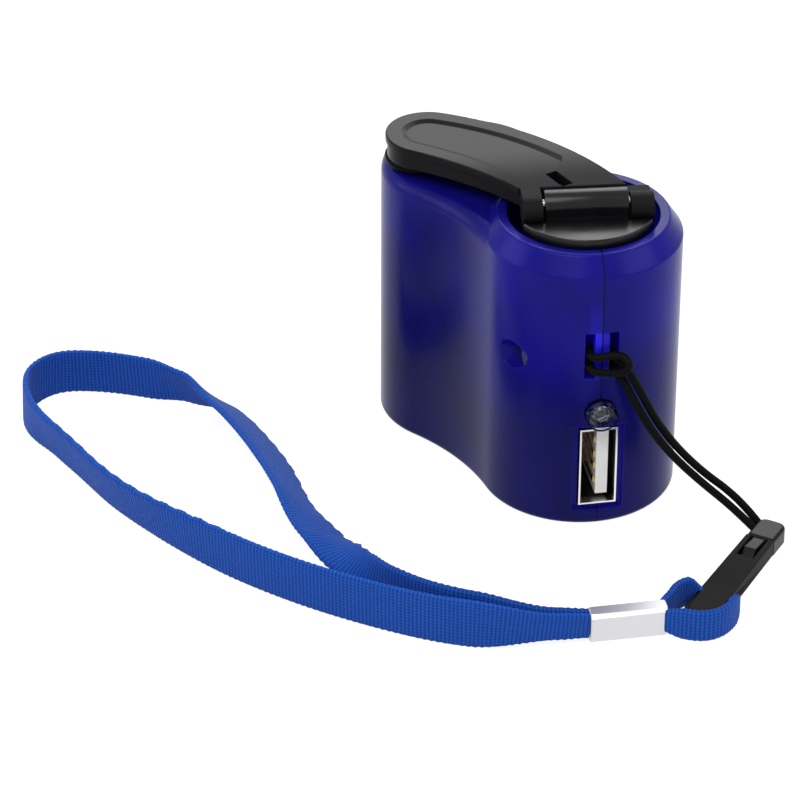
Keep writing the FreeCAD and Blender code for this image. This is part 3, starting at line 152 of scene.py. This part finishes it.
# Routes as smooth lines that end on their first and last points
LINE_ORDER = 3
LINE_RESOLUTION = 14
CORD_RESOLUTION = 12
CORD_SIDES = 5
CORD_STEP = 0.001
STRAP_STEP = 0.0005
STRAP_PATH_STEP = 0.002
LOOP_STEP = 0.0004

# Route of the cord from the clip to the bar, round it and back, in metres
CORD_ROUTE = (
    (0.0234, -0.0222, 0.0016), (0.0219, -0.0207, 0.0035), (0.0190, -0.0191, 0.0065), (0.0150, -0.0183, 0.0098),
    (0.0110, -0.0178, 0.0142), (0.00805, -0.0175, 0.0186), (0.0060, -0.0172, 0.0227), (0.0044, -0.0166, 0.0260),
    (0.0028, -0.01575, 0.0283), (0.00185, -0.0147, 0.0289), (0.00178, -0.0122, 0.0292), (-0.00178, -0.0122, 0.0294),
    (-0.00185, -0.0149, 0.0295), (-0.0009, -0.01575, 0.0296), (0.0010, -0.0158, 0.0299), (0.0027, -0.0164, 0.0301),
    (0.0036, -0.0176, 0.0292), (0.0029, -0.0176, 0.0279), (0.0012, -0.0161, 0.0271), (-0.0009, -0.01575, 0.0271),
    (-0.00185, -0.0149, 0.0274), (-0.00178, -0.0122, 0.0273), (0.00178, -0.0122, 0.0271), (0.00185, -0.0147, 0.0268),
    (0.0027, -0.0158, 0.0260), (0.00395, -0.0168, 0.0236), (0.0055, -0.0178, 0.0204), (0.00775, -0.01825, 0.0166),
    (0.0109, -0.0186, 0.0125), (0.0148, -0.0191, 0.0084), (0.0184, -0.0201, 0.0052), (0.0212, -0.0220, 0.0027),
    (0.0226, -0.0232, 0.0014),
)

# Route of the strap's middle line, from the crimp round the wrist loop and back, in metres
STRAP_ROUTE = (
    (-0.0076, -0.04405, 0.0027), (-0.0145, -0.0442, 0.0033), (-0.0215, -0.0437, 0.004), (-0.0290, -0.0407, 0.004),
    (-0.0370, -0.0357, 0.004), (-0.0454, -0.0294, 0.004), (-0.0534, -0.0220, 0.004), (-0.0604, -0.0139, 0.004),
    (-0.0664, -0.0063, 0.004), (-0.0712, 0.0016, 0.004), (-0.0746, 0.0100, 0.004), (-0.0779, 0.0173, 0.004),
    (-0.0809, 0.0243, 0.004), (-0.0804, 0.0314, 0.004), (-0.0754, 0.0360, 0.004), (-0.0685, 0.0349, 0.004),
    (-0.0610, 0.0314, 0.004), (-0.0545, 0.0272, 0.004), (-0.0503, 0.0204, 0.004), (-0.0476, 0.0122, 0.004),
    (-0.0457, 0.0044, 0.004), (-0.0446, -0.0037, 0.004), (-0.0432, -0.0121, 0.004), (-0.0406, -0.0205, 0.004),
    (-0.0366, -0.0284, 0.004), (-0.0313, -0.0351, 0.004), (-0.0246, -0.0401, 0.004), (-0.0165, -0.0424, 0.0034),
    (-0.0076, -0.04285, 0.0027),
)

# Route of the small loop through the clip's eye, in metres
LOOP_ROUTE = (
    (0.0027, -0.04405, 0.0026), (0.0062, -0.0462, 0.0026), (0.0089, -0.0470, 0.0026), (0.0115, -0.0462, 0.0026),
    (0.0137, -0.0439, 0.0025), (0.0149, -0.0415, 0.0023), (0.01197, -0.03908, 0.0013), (0.0093, -0.0370, 0.0022),
    (0.0063, -0.0386, 0.0026), (0.0046, -0.0412, 0.0026), (0.0027, -0.04285, 0.0026),
)

# Woven bands: places across half a section, and how squarely its edges are rounded
BAND_SHARES = (-1, -0.97, -0.9, -0.75, -0.5, -0.25, 0, 0.25, 0.5, 0.75, 0.9, 0.97, 1)
BAND_SQUARENESS = 14
WAVE_PITCH = 0.0034
LEVEL = ((0, 0), (1, 0))

# Strap: (share of the length, value) pairs. It leans, makes a half turn, and is pinched by the crimp
STRAP_LEANS = (
    (0, 0), (0.24, -0.05), (0.33, -0.25), (0.42, -0.23), (0.47, 0.03), (0.53, 0.13), (0.572, 0.15), (0.6, 0.42),
    (0.635, 0.9), (0.7, 0.9), (0.745, 0.82), (0.8, 1.15), (0.875, math.pi), (1, math.pi),
)
STRAP_WIDTHS = (
    (0, 0.5), (0.02, 0.55), (0.075, 1), (0.8, 1), (0.84, 0.7), (0.88, 0.95), (0.93, 1), (0.98, 0.55), (1, 0.5),
)
STRAP_UPPER_WAVES = ((0, 0), (0.22, 0), (0.27, 0.00016), (0.4, 0.00016), (0.44, 0), (1, 0))
STRAP_LOWER_WAVES = ((0, 0), (0.62, 0), (0.66, 0.00022), (0.82, 0.00022), (0.86, 0), (1, 0))
STRAP_SCALLOP = (0.00009, 0.001081)

# Small loop: upright all the way and pinched in the clip's eye
LOOP_WIDTH = 0.0051
LOOP_WIDTHS = ((0, 0.7), (0.12, 1), (0.42, 1), (0.52, 0.25), (0.66, 0.25), (0.76, 0.95), (0.93, 0.9), (1, 0.7))
LOOP_SCALLOP = (0.00006, 0.000721)


class CHARGER_PG_view(bpy.types.PropertyGroup):
    """Camera that looks at the charger."""

    azimuth: bpy.props.FloatProperty(
        name="Azimuth", description="Angle round the charger", default=math.radians(-10.46), subtype="ANGLE")
    elevation: bpy.props.FloatProperty(
        name="Elevation", description="Angle above the floor", default=math.radians(32.019), subtype="ANGLE")
    roll: bpy.props.FloatProperty(
        name="Roll", description="Turn about the line of sight", default=math.radians(0.283), subtype="ANGLE")
    distance: bpy.props.FloatProperty(
        name="Distance", description="Distance of the camera from the crank's foot", default=0.63614, unit="LENGTH")
    across: bpy.props.FloatProperty(
        name="Across", description="Sideways place of the camera", default=-0.026664, unit="LENGTH")
    along: bpy.props.FloatProperty(
        name="Up", description="Upward place of the camera", default=0.010758, unit="LENGTH")
    lens: bpy.props.FloatProperty(name="Lens", description="Focal length on a 36 mm sensor", default=188.24)


class CHARGER_PG_looks(bpy.types.PropertyGroup):
    """Sizes and colours of the dressed pieces."""

    shell_colour: bpy.props.FloatVectorProperty(
        name="Shell", description="Colour of the translucent housing", subtype="COLOR", size=4,
        default=(0.011, 0.009, 0.34, 1), min=0, max=1)
    black_colour: bpy.props.FloatVectorProperty(
        name="Crank", description="Colour of the black plastic", subtype="COLOR", size=4,
        default=(0.003, 0.003, 0.004, 1), min=0, max=1)
    strap_colour: bpy.props.FloatVectorProperty(
        name="Strap", description="Colour of the woven strap", subtype="COLOR", size=4,
        default=(0.008, 0.084, 0.47, 1), min=0, max=1)
    metal_colour: bpy.props.FloatVectorProperty(
        name="Metal", description="Colour of the plated metal", subtype="COLOR", size=4,
        default=(0.66, 0.65, 0.67, 1), min=0, max=1)
    cord_diameter: bpy.props.FloatProperty(
        name="Cord", description="Diameter of the thin cord", default=0.0012, unit="LENGTH")
    strap_width: bpy.props.FloatProperty(
        name="Strap width", description="Width of the woven strap", default=0.008, unit="LENGTH")
    strap_thickness: bpy.props.FloatProperty(
        name="Strap thickness", description="Thickness of the woven strap", default=0.001, unit="LENGTH")
    rib_pitch: bpy.props.FloatProperty(
        name="Rib pitch", description="Distance between the ribs of the weave", default=0.0006, unit="LENGTH")


def view_settings():
    """Camera values of the scene."""
    return bpy.context.scene.charger_view


def looks():
    """Sizes and colours of the scene."""
    return bpy.context.scene.charger_looks


def add_to_scene(name, data, body=HOUSING):
    """New object in the scene, which rides on a body where one is named."""
    obj = bpy.data.objects.new(name, data)
    bpy.context.scene.collection.objects.link(obj)
    if body:
        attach(obj, body)
    return obj


def new_material(name, values=None):
    """Node material with the given values on its shader: the material, its tree and its shader."""
    material = bpy.data.materials.new(name)
    material.use_nodes = True
    shader = material.node_tree.nodes["Principled BSDF"]
    for socket, value in (values or {}).items():
        shader.inputs[socket].default_value = value
    return material, material.node_tree, shader


def calculate(tree, operation, *terms):
    """Result of a sum on terms that are numbers or sockets."""
    node = tree.nodes.new("ShaderNodeMath")
    node.operation = operation
    for socket, term in zip(node.inputs, terms):
        if isinstance(term, bpy.types.NodeSocket):
            tree.links.new(term, socket)
        else:
            socket.default_value = term
    return node.outputs[0]


def texture_place(tree, kind):
    """Coordinates of the piece."""
    return tree.nodes.new("ShaderNodeTexCoord").outputs[kind]


def split_place(tree, kind):
    """X, Y and Z of the coordinates of the piece."""
    node = tree.nodes.new("ShaderNodeSeparateXYZ")
    tree.links.new(texture_place(tree, kind), node.inputs["Vector"])
    return node.outputs


def fine_noise(tree, scale, detail=NOISE_DETAIL):
    """Noise over the piece."""
    noise = tree.nodes.new("ShaderNodeTexNoise")
    noise.inputs["Scale"].default_value = scale
    noise.inputs["Detail"].default_value = detail
    tree.links.new(texture_place(tree, "Object"), noise.inputs["Vector"])
    return noise.outputs["Fac"]


def ramp(tree, source, low, high, stops=(0.3, 0.7)):
    """Colours between two colours, driven by a value."""
    node = tree.nodes.new("ShaderNodeValToRGB")
    for element, position, colour in zip(node.color_ramp.elements, stops, (low, high)):
        element.position = position
        element.color = colour
    tree.links.new(source, node.inputs["Fac"])
    return node.outputs["Color"]


def bump(tree, shader, source, strength, distance=RELIEF_DEPTH, edge=0.0):
    """Surface relief from a texture, over edges that look rounded where an edge radius is given."""
    node = tree.nodes.new("ShaderNodeBump")
    node.inputs["Strength"].default_value = strength
    node.inputs["Distance"].default_value = distance
    tree.links.new(source, node.inputs["Height"])
    if edge:
        rounded = tree.nodes.new("ShaderNodeBevel")
        rounded.samples = EDGE_SAMPLES
        rounded.inputs["Radius"].default_value = edge
        tree.links.new(rounded.outputs["Normal"], node.inputs["Normal"])
    tree.links.new(node.outputs["Normal"], shader.inputs["Normal"])


def plain_rays(tree):
    """One for camera, mirror and see-through rays, and none for the light that falls on the object."""
    path = tree.nodes.new("ShaderNodeLightPath").outputs
    seen = calculate(tree, "MAXIMUM", path["Is Camera Ray"], path["Is Glossy Ray"])
    return calculate(tree, "MAXIMUM", seen, path["Is Transmission Ray"])


def by_place(tree, axis, start, end, low, high):
    """Smooth step of a value between two places along an axis of the piece."""
    step = tree.nodes.new("ShaderNodeMapRange")
    step.interpolation_type = "SMOOTHSTEP"
    step.inputs["From Min"].default_value = start
    step.inputs["From Max"].default_value = end
    step.inputs["To Min"].default_value = low
    step.inputs["To Max"].default_value = high
    tree.links.new(split_place(tree, "Object")[axis], step.inputs["Value"])
    return step.outputs["Result"]


def region(tree, edges, gain):
    """Factor of one outside a region and of one plus a gain within it."""
    share = None
    for axis, start, end, rising in edges:
        low, high = (0.0, 1.0) if rising else (1.0, 0.0)
        step = by_place(tree, axis, start, end, low, high)
        share = calculate(tree, "MULTIPLY", share, step) if share else step
    return calculate(tree, "MULTIPLY_ADD", share, gain, 1.0)


def times(tree, colour, factor):
    """Colour multiplied by a value."""
    node = tree.nodes.new("ShaderNodeVectorMath")
    node.operation = "SCALE"
    tree.links.new(colour, node.inputs["Vector"])
    tree.links.new(factor, node.inputs["Scale"])
    return node.outputs["Vector"]


def scaled(colour, factor):
    """Colour made lighter or darker."""
    return tuple(min(1.0, channel * factor) for channel in colour[:3]) + (1.0,)


def grey(value):
    """Neutral colour."""
    return (value, value, value, 1.0)


def plain_finish(name, colour, roughness, metallic=0.0, grain=900.0, relief=0.05, spread=0.12, shine=0.5, edge=0.0):
    """Moulded or worked surface with a little variation in colour, gloss and relief."""
    material, tree, shader = new_material(name, {"Metallic": metallic, "Specular IOR Level": shine})
    noise = fine_noise(tree, grain)
    patches = fine_noise(tree, grain / PATCH_SIZE)
    tone = ramp(tree, patches, scaled(colour, 1 - spread), scaled(colour, 1 + spread))
    tree.links.new(tone, shader.inputs["Base Color"])
    gloss = ramp(tree, patches, grey(max(LEAST_ROUGHNESS, roughness - WEAR)), grey(min(1, roughness + WEAR)))
    tree.links.new(gloss, shader.inputs["Roughness"])
    bump(tree, shader, noise, relief, edge=edge)
    return material


def dress(names, material, bevel=0.0, segments=2):
    """Give CAD nodes a finish, and soften their edges."""
    for name in names:
        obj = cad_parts[name]
        obj.data.materials.clear()
        obj.data.materials.append(material)
        for polygon in obj.data.polygons:
            polygon.material_index = 0
        if bevel:
            joined = obj.modifiers.new("Joined faces", "WELD")
            joined.merge_threshold = WELD_DISTANCE
            soft = obj.modifiers.new("Soft edges", "BEVEL")
            soft.width = bevel
            soft.segments = segments
            soft.limit_method = "ANGLE"
            soft.angle_limit = BEVEL_FROM
            soft.use_clamp_overlap = False
            crisp = obj.modifiers.new("Crisp corners", "EDGE_SPLIT")
            crisp.split_angle = CRISP_FROM


def shell_finish():
    """Translucent blue plastic with painted shade low down and towards the far lobe, and painted light on the bar and
    round the socket.
    """
    colour = tuple(looks().shell_colour)
    material, tree, shader = new_material("translucent blue plastic", SHELL_VALUES)
    haze = fine_noise(tree, HAZE_SCALE, HAZE_DETAIL)
    tone = ramp(tree, haze, *(scaled(colour, factor) for factor in HAZE_TONES))
    # Painted shade: the tone is darkened low down and towards the far lobe
    for change in (SHELL_LOW_SHADE, SHELL_FAR_SHADE):
        tone = times(tree, tone, by_place(tree, *change))
    # Regions: a dark seam line, and painted light on the bar and round the socket
    for gain, edges in SHELL_REGIONS:
        tone = times(tree, tone, region(tree, edges, gain))
    tree.links.new(tone, shader.inputs["Base Color"])
    bump(tree, shader, fine_noise(tree, SHELL_GRAIN), SHELL_RELIEF, edge=SHELL_EDGE)
    return material


def woven_finish(name, colour, rib):
    """Woven webbing from the strap's own length and width coordinates."""
    material, tree, shader = new_material(name, WEAVE_VALUES)
    place = split_place(tree, "UV")

    def waves(coordinate, pitch):
        angle = calculate(tree, "MULTIPLY_ADD", coordinate, 2 * math.pi / pitch, 0.0)
        return calculate(tree, "SINE", angle)

    threads = calculate(tree, "MULTIPLY", waves(place["Y"], rib * THREAD_PITCH), THREAD_SHARE)
    height = calculate(tree, "MULTIPLY_ADD", waves(place["X"], rib), 1.0, threads)
    level = tree.nodes.new("ShaderNodeMapRange")
    level.inputs["From Min"].default_value = -WEAVE_LEVEL
    level.inputs["From Max"].default_value = WEAVE_LEVEL
    tree.links.new(height, level.inputs["Value"])
    tone = ramp(tree, level.outputs["Result"], *(scaled(colour, factor) for factor in WEAVE_TONES), WEAVE_STOPS)
    mix = tree.nodes.new("ShaderNodeMixRGB")
    mix.blend_type = "MULTIPLY"
    mix.inputs["Fac"].default_value = FUZZ_SHARE
    tree.links.new(tone, mix.inputs["Color1"])
    tree.links.new(fine_noise(tree, FUZZ_SCALE), mix.inputs["Color2"])
    tree.links.new(mix.outputs["Color"], shader.inputs["Base Color"])
    bump(tree, shader, level.outputs["Result"], WEAVE_RELIEF, WEAVE_DEPTH)
    return material


def smooth_curve(name, route, resolution):
    """Curve that a route steers, from its first point to its last."""
    curve = bpy.data.curves.new(name, "CURVE")
    curve.dimensions = "3D"
    spline = curve.splines.new("NURBS")
    spline.points.add(len(route) - 1)
    for point, place in zip(spline.points, route):
        point.co = (*place, 1.0)
    spline.order_u = LINE_ORDER
    spline.use_endpoint_u = True
    spline.resolution_u = resolution
    return curve


def smooth_line(name, route):
    """Points of the smooth line that a route steers."""
    holder = bpy.data.objects.new(name, smooth_curve(name, route, LINE_RESOLUTION))
    mesh = bpy.data.meshes.new_from_object(holder)
    points = [vertex.co.copy() for vertex in mesh.vertices]
    bpy.data.objects.remove(holder)
    bpy.data.meshes.remove(mesh)
    return points


def even_steps(points, step):
    """The same line with its points at equal distances, and its length."""
    total = sum((b - a).length for a, b in zip(points, points[1:]))
    count = max(4, round(total / step))
    spots = [points[0].copy()]
    travelled = 0.0
    target = total / count
    for start, end in zip(points, points[1:]):
        stretch = (end - start).length
        while stretch > 0 and travelled + stretch >= target - 1e-9 and len(spots) < count:
            spots.append(start.lerp(end, (target - travelled) / stretch))
            target += total / count
        travelled += stretch
    spots.append(points[-1].copy())
    return spots, total


def between(value, stops):
    """Value at a place, eased between stops that are (place, value) pairs."""
    if value <= stops[0][0]:
        return stops[0][1]
    for (a, low), (b, high) in zip(stops, stops[1:]):
        if value <= b:
            share = (value - a) / (b - a)
            share = share * share * (3 - 2 * share)
            return low + (high - low) * share
    return stops[-1][1]


def band_profile(thickness):
    """Section of a woven band as (share of its half width, depth) pairs, all the way round."""
    front = [(share, thickness / 2 * (1 - abs(share) ** BAND_SQUARENESS) ** 0.5) for share in BAND_SHARES]
    return front + [(share, -depth) for share, depth in reversed(front[1:-1])]


def band_mesh(name, line, width, thickness, widths, scallop, leans=LEVEL, upper_waves=LEVEL, lower_waves=LEVEL):
    """Flat woven band along a line, with its lean, its width and its wavy edges set along its length."""
    work = bmesh.new()
    uv = work.loops.layers.uv.new("Weave")
    profile = band_profile(thickness)
    depth, pitch = scallop
    length = sum((b - a).length for a, b in zip(line, line[1:]))
    travelled = 0.0
    rings = []
    for index, spot in enumerate(line):
        before = line[max(0, index - 1)]
        after = line[min(len(line) - 1, index + 1)]
        way = (after - before).normalized()
        side = Vector((0, 0, 1)).cross(way).normalized()
        up = way.cross(side).normalized()
        if index:
            travelled += (spot - line[index - 1]).length
        share = travelled / length
        spin = Matrix.Rotation(between(share, leans), 3, way)
        across = spin @ up
        outward = spin @ side
        half = between(share, widths) * width / 2 + depth * math.sin(2 * math.pi * travelled / pitch)
        wave = math.sin(2 * math.pi * travelled / WAVE_PITCH)
        upper = half + wave * between(share, upper_waves)
        lower = half + wave * between(share, lower_waves)
        rings.append((travelled, [work.verts.new(spot + across * ((upper if a > 0 else lower) * a) + outward * b)
                                  for a, b in profile]))
    count = len(profile)
    for (start_s, start), (end_s, end) in zip(rings, rings[1:]):
        for index in range(count):
            other = (index + 1) % count
            face = work.faces.new((start[index], start[other], end[other], end[index]))
            face.smooth = True
            places = ((start_s, index), (start_s, other), (end_s, other), (end_s, index))
            for loop, (s, corner) in zip(face.loops, places):
                loop[uv].uv = (s, profile[corner][0] * width / 2)
    for end in (rings[0][1], rings[-1][1]):
        work.faces.new(end)
    bmesh.ops.recalc_face_normals(work, faces=work.faces)
    mesh = bpy.data.meshes.new(name)
    work.to_mesh(mesh)
    work.free()
    return mesh


class CHARGER_OT_stage(bpy.types.Operator):
    """Camera, pale floor, world and soft lights"""

    bl_idname = "charger.stage"
    bl_label = "Stage"

    def execute(self, context):
        self.add_camera(context.scene)
        context.scene.view_settings.view_transform = "Standard"
        self.add_world(context.scene)
        self.add_floor()
        self.add_lamps(context.scene)
        return {"FINISHED"}

    def add_camera(self, scene):
        """Camera on its stand-off, turned towards the charger."""
        settings = view_settings()
        az, el, roll = settings.azimuth, settings.elevation, settings.roll
        back = Vector((math.sin(az) * math.cos(el), -math.cos(az) * math.cos(el), math.sin(el)))
        right = Vector((math.cos(az), math.sin(az), 0))
        up = back.cross(right)
        side = right * math.cos(roll) + up * math.sin(roll)
        top = up * math.cos(roll) - right * math.sin(roll)
        place = side * settings.across + top * settings.along + back * settings.distance
        lens = bpy.data.cameras.new("Camera")
        lens.lens = settings.lens
        lens.sensor_width = SENSOR_WIDTH
        lens.clip_start = CLIP_START
        camera = bpy.data.objects.new("Camera", lens)
        scene.collection.objects.link(camera)
        camera.matrix_world = Matrix((
            (side.x, top.x, back.x, place.x), (side.y, top.y, back.y, place.y), (side.z, top.z, back.z, place.z),
            (0, 0, 0, 1)))
        scene.camera = camera

    def add_world(self, scene):
        """White world that is seen brighter than it lights."""
        world = bpy.data.worlds.new("Studio")
        world.use_nodes = True
        scene.world = world
        tree = world.node_tree
        background = tree.nodes["Background"]
        level = tree.nodes.new("ShaderNodeMapRange")
        level.inputs["To Min"].default_value = WORLD_LIGHT
        level.inputs["To Max"].default_value = WORLD_SEEN
        tree.links.new(plain_rays(tree), level.inputs["Value"])
        tree.links.new(level.outputs["Result"], background.inputs["Strength"])
        background.inputs["Color"].default_value = grey(1.0)

    def add_floor(self):
        """Pale floor that fades into the world and keeps the shadow."""
        plane = bpy.data.meshes.new("Floor")
        half = FLOOR_HALF
        plane.from_pydata([(-half, -half, 0), (half, -half, 0), (half, half, 0), (-half, half, 0)], [], [(0, 1, 2, 3)])
        floor = add_to_scene("Floor", plane, None)
        floor.location.z = -FLOOR_SINK
        material, tree, shader = new_material("pale floor", {
            "Base Color": grey(FLOOR_TONE), "Roughness": FLOOR_ROUGHNESS, "Specular IOR Level": FLOOR_SHINE})
        glow = tree.nodes.new("ShaderNodeEmission")
        glow.inputs["Color"].default_value = grey(1.0)
        glow.inputs["Strength"].default_value = FLOOR_GLOW
        blend = tree.nodes.new("ShaderNodeMixShader")
        share = calculate(tree, "MULTIPLY", plain_rays(tree), FLOOR_GLOW_SHARE)
        tree.links.new(share, blend.inputs["Fac"])
        tree.links.new(shader.outputs["BSDF"], blend.inputs[1])
        tree.links.new(glow.outputs["Emission"], blend.inputs[2])
        tree.links.new(blend.outputs["Shader"], tree.nodes["Material Output"].inputs["Surface"])
        plane.materials.append(material)

    def add_lamps(self, scene):
        """Soft square lamps that face the charger."""
        for name, spot, size, power in LAMPS:
            lamp = bpy.data.lights.new(name, "AREA")
            lamp.shape = "SQUARE"
            lamp.size = size
            lamp.energy = power
            holder = bpy.data.objects.new(name, lamp)
            scene.collection.objects.link(holder)
            holder.location = spot
            aim = Vector(LAMP_AIM) - Vector(spot)
            holder.rotation_euler = aim.to_track_quat("-Z", "Y").to_euler()


class CHARGER_OT_cord(bpy.types.Operator):
    """Thin black cord, hitched round the bar"""

    bl_idname = "charger.cord"
    bl_label = "Cord"

    def execute(self, context):
        values = looks()
        curve = smooth_curve("lanyard_cord_line", CORD_ROUTE, CORD_RESOLUTION)
        curve.bevel_depth = values.cord_diameter / 2
        curve.bevel_resolution = CORD_SIDES
        curve.use_fill_caps = True
        curve.materials.append(plain_finish("braided black cord", BLACK, 0.6, grain=2400, relief=0.7, shine=0.05))
        cord = add_to_scene("braided_cord", curve)
        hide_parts("lanyard_cord")
        _, length = even_steps(smooth_line("cord line", CORD_ROUTE), CORD_STEP)
        return {"FINISHED"}


class CHARGER_OT_strap(bpy.types.Operator):
    """Woven wrist strap, small end loop and crimp"""

    bl_idname = "charger.strap"
    bl_label = "Strap"

    def execute(self, context):
        values = looks()
        woven = woven_finish("blue woven strap", tuple(values.strap_colour), values.rib_pitch)
        line, length = even_steps(smooth_line("strap line", STRAP_ROUTE), STRAP_STEP)
        strap = self.add_band(
            "woven_strap", woven, "wrist_strap", "wrist_strap_woven", line, values.strap_width,
            values.strap_thickness, STRAP_WIDTHS, STRAP_SCALLOP, STRAP_LEANS, STRAP_UPPER_WAVES, STRAP_LOWER_WAVES)
        path, _ = even_steps(smooth_line("strap middle", STRAP_ROUTE), STRAP_PATH_STEP)
        loop_line, _ = even_steps(smooth_line("loop line", LOOP_ROUTE), LOOP_STEP)
        end_loop = self.add_band(
            "woven_end_loop", woven, "strap_end_loop", "end_loop_woven", loop_line, LOOP_WIDTH,
            values.strap_thickness, LOOP_WIDTHS, LOOP_SCALLOP)
        metal = plain_finish("pressed bright metal", tuple(values.metal_colour), 0.4, 1.0, 300, 0.12, 0.05)
        dress(["crimp"], metal, 0.0003, 3)
        return {"FINISHED"}

    def add_band(self, name, material, node, *shape):
        """Woven band that is seen in place of a CAD node."""
        mesh = band_mesh(*shape)
        mesh.materials.append(material)
        band = add_to_scene(name, mesh)
        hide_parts(node)
        return band


class CHARGER_OT_clip(bpy.types.Operator):
    """Black snap clip between the cord and the strap"""

    bl_idname = "charger.clip"
    bl_label = "Clip"

    def execute(self, context):
        dress(["clip_sleeve"], plain_finish("moulded black clip", BLACK, 0.24, relief=0.1, shine=0.02), 0.0002)
        dress(["clip_cap"], plain_finish("moulded black cap", BLACK, 0.24, relief=0.1, shine=0.12, edge=0.0003))
        return {"FINISHED"}


class CHARGER_OT_shells(bpy.types.Operator):
    """Translucent blue shells and their screws"""

    bl_idname = "charger.shells"
    bl_label = "Shells"

    def execute(self, context):
        dress(["left_shell", "right_shell"], shell_finish())
        steel = plain_finish("plated screw steel", (0.6, 0.6, 0.62), 0.25, 1.0)
        dress(["case_screws", "cage_screws", "idler_axles", "hub_screw", "hinge_pin", "rotor_shaft", "crank_shaft",
               "knob_pin", "led_leads"], steel)
        return {"FINISHED"}


class CHARGER_OT_crank(bpy.types.Operator):
    """Black crank hub, arm and knob"""

    bl_idname = "charger.crank"
    bl_label = "Crank"

    def execute(self, context):
        colour = tuple(looks().black_colour)
        black = plain_finish("satin black plastic", colour, 0.2, grain=1400, relief=0.08, shine=0.26)
        dress(["crank_hub"], black, 0.0002, 3)
        dress(["knob"], plain_finish("black plastic of the knob", colour, 0.3, shine=0.03), 0.0002, 3)
        worn = plain_finish(
            "black plastic of the arm", colour, 0.24, grain=1400, relief=0.08, shine=0.1, edge=0.00022)
        tree = worn.node_tree
        tree.links.new(by_place(tree, *ARM_GLOSS), tree.nodes["Principled BSDF"].inputs["Roughness"])
        dress(["crank_arm"], worn)
        return {"FINISHED"}


class CHARGER_OT_socket(bpy.types.Operator):
    """Socket shell, tongue and contacts"""

    bl_idname = "charger.socket"
    bl_label = "Socket"

    def execute(self, context):
        metal = plain_finish("plated socket shell", (0.75, 0.74, 0.72), 0.16, 1.0, 500, 0.08)
        tree = metal.node_tree
        base = tree.nodes["Principled BSDF"].inputs["Base Color"]
        # Painted shade: the socket shell's colour darkens deeper inside the socket
        tree.links.new(times(tree, base.links[0].from_socket, by_place(tree, *SOCKET_SHADE)), base)
        dress(["usb_shell"], metal, 0.00006)
        dress(["usb_tongue"], plain_finish("white moulded tongue", (0.88, 0.87, 0.84), 0.3), 0.00015)
        dress(["usb_contacts"], plain_finish("gold contact", (0.75, 0.5, 0.2), 0.2, 1.0))
        return {"FINISHED"}


class CHARGER_OT_lamp(bpy.types.Operator):
    """Clear round lamp"""

    bl_idname = "charger.lamp"
    bl_label = "Lamp"

    def execute(self, context):
        material, tree, shader = new_material("clear lamp lens", LENS_VALUES)
        bump(tree, shader, fine_noise(tree, LENS_GRAIN), LENS_RELIEF)
        dress(["led"], material)
        return {"FINISHED"}


class CHARGER_OT_works(bpy.types.Operator):
    """Gears, plates, generator and board inside the housing"""

    bl_idname = "charger.works"
    bl_label = "Works"

    def execute(self, context):
        for names, finish, values in WORKS:
            dress(names, plain_finish(finish, **values))
        return {"FINISHED"}


class CHARGER_PT_panel(bpy.types.Panel):
    """List of the pieces that the add-on makes"""

    bl_idname = "CHARGER_PT_panel"
    bl_label = "Hand crank charger"
    bl_space_type = "VIEW_3D"
    bl_region_type = "UI"
    bl_category = "Hand crank charger"

    def draw(self, context):
        column = self.layout.column()
        for owner in (context.scene.charger_view, context.scene.charger_looks):
            for name in owner.__annotations__:
                column.prop(owner, name)
        for step in STEPS:
            column.operator(step.bl_idname)


STEPS = (
    CHARGER_OT_stage, CHARGER_OT_cord, CHARGER_OT_strap, CHARGER_OT_clip, CHARGER_OT_shells, CHARGER_OT_crank,
    CHARGER_OT_socket, CHARGER_OT_lamp, CHARGER_OT_works,
)
CLASSES = (CHARGER_PG_view, CHARGER_PG_looks) + STEPS + (CHARGER_PT_panel,)


def register():
    """Register the classes and the scene's settings."""
    for cls in CLASSES:
        bpy.utils.register_class(cls)
    bpy.types.Scene.charger_view = bpy.props.PointerProperty(type=CHARGER_PG_view)
    bpy.types.Scene.charger_looks = bpy.props.PointerProperty(type=CHARGER_PG_looks)


def unregister():
    """Remove the classes and the scene's settings."""
    del bpy.types.Scene.charger_looks
    del bpy.types.Scene.charger_view
    for cls in reversed(CLASSES):
        bpy.utils.unregister_class(cls)


def main():
    """Make every piece in turn."""
    register()
    for step in STEPS:
        group, name = step.bl_idname.split(".")
        getattr(getattr(bpy.ops, group), name)()


if __name__ == "__main__":
    main()
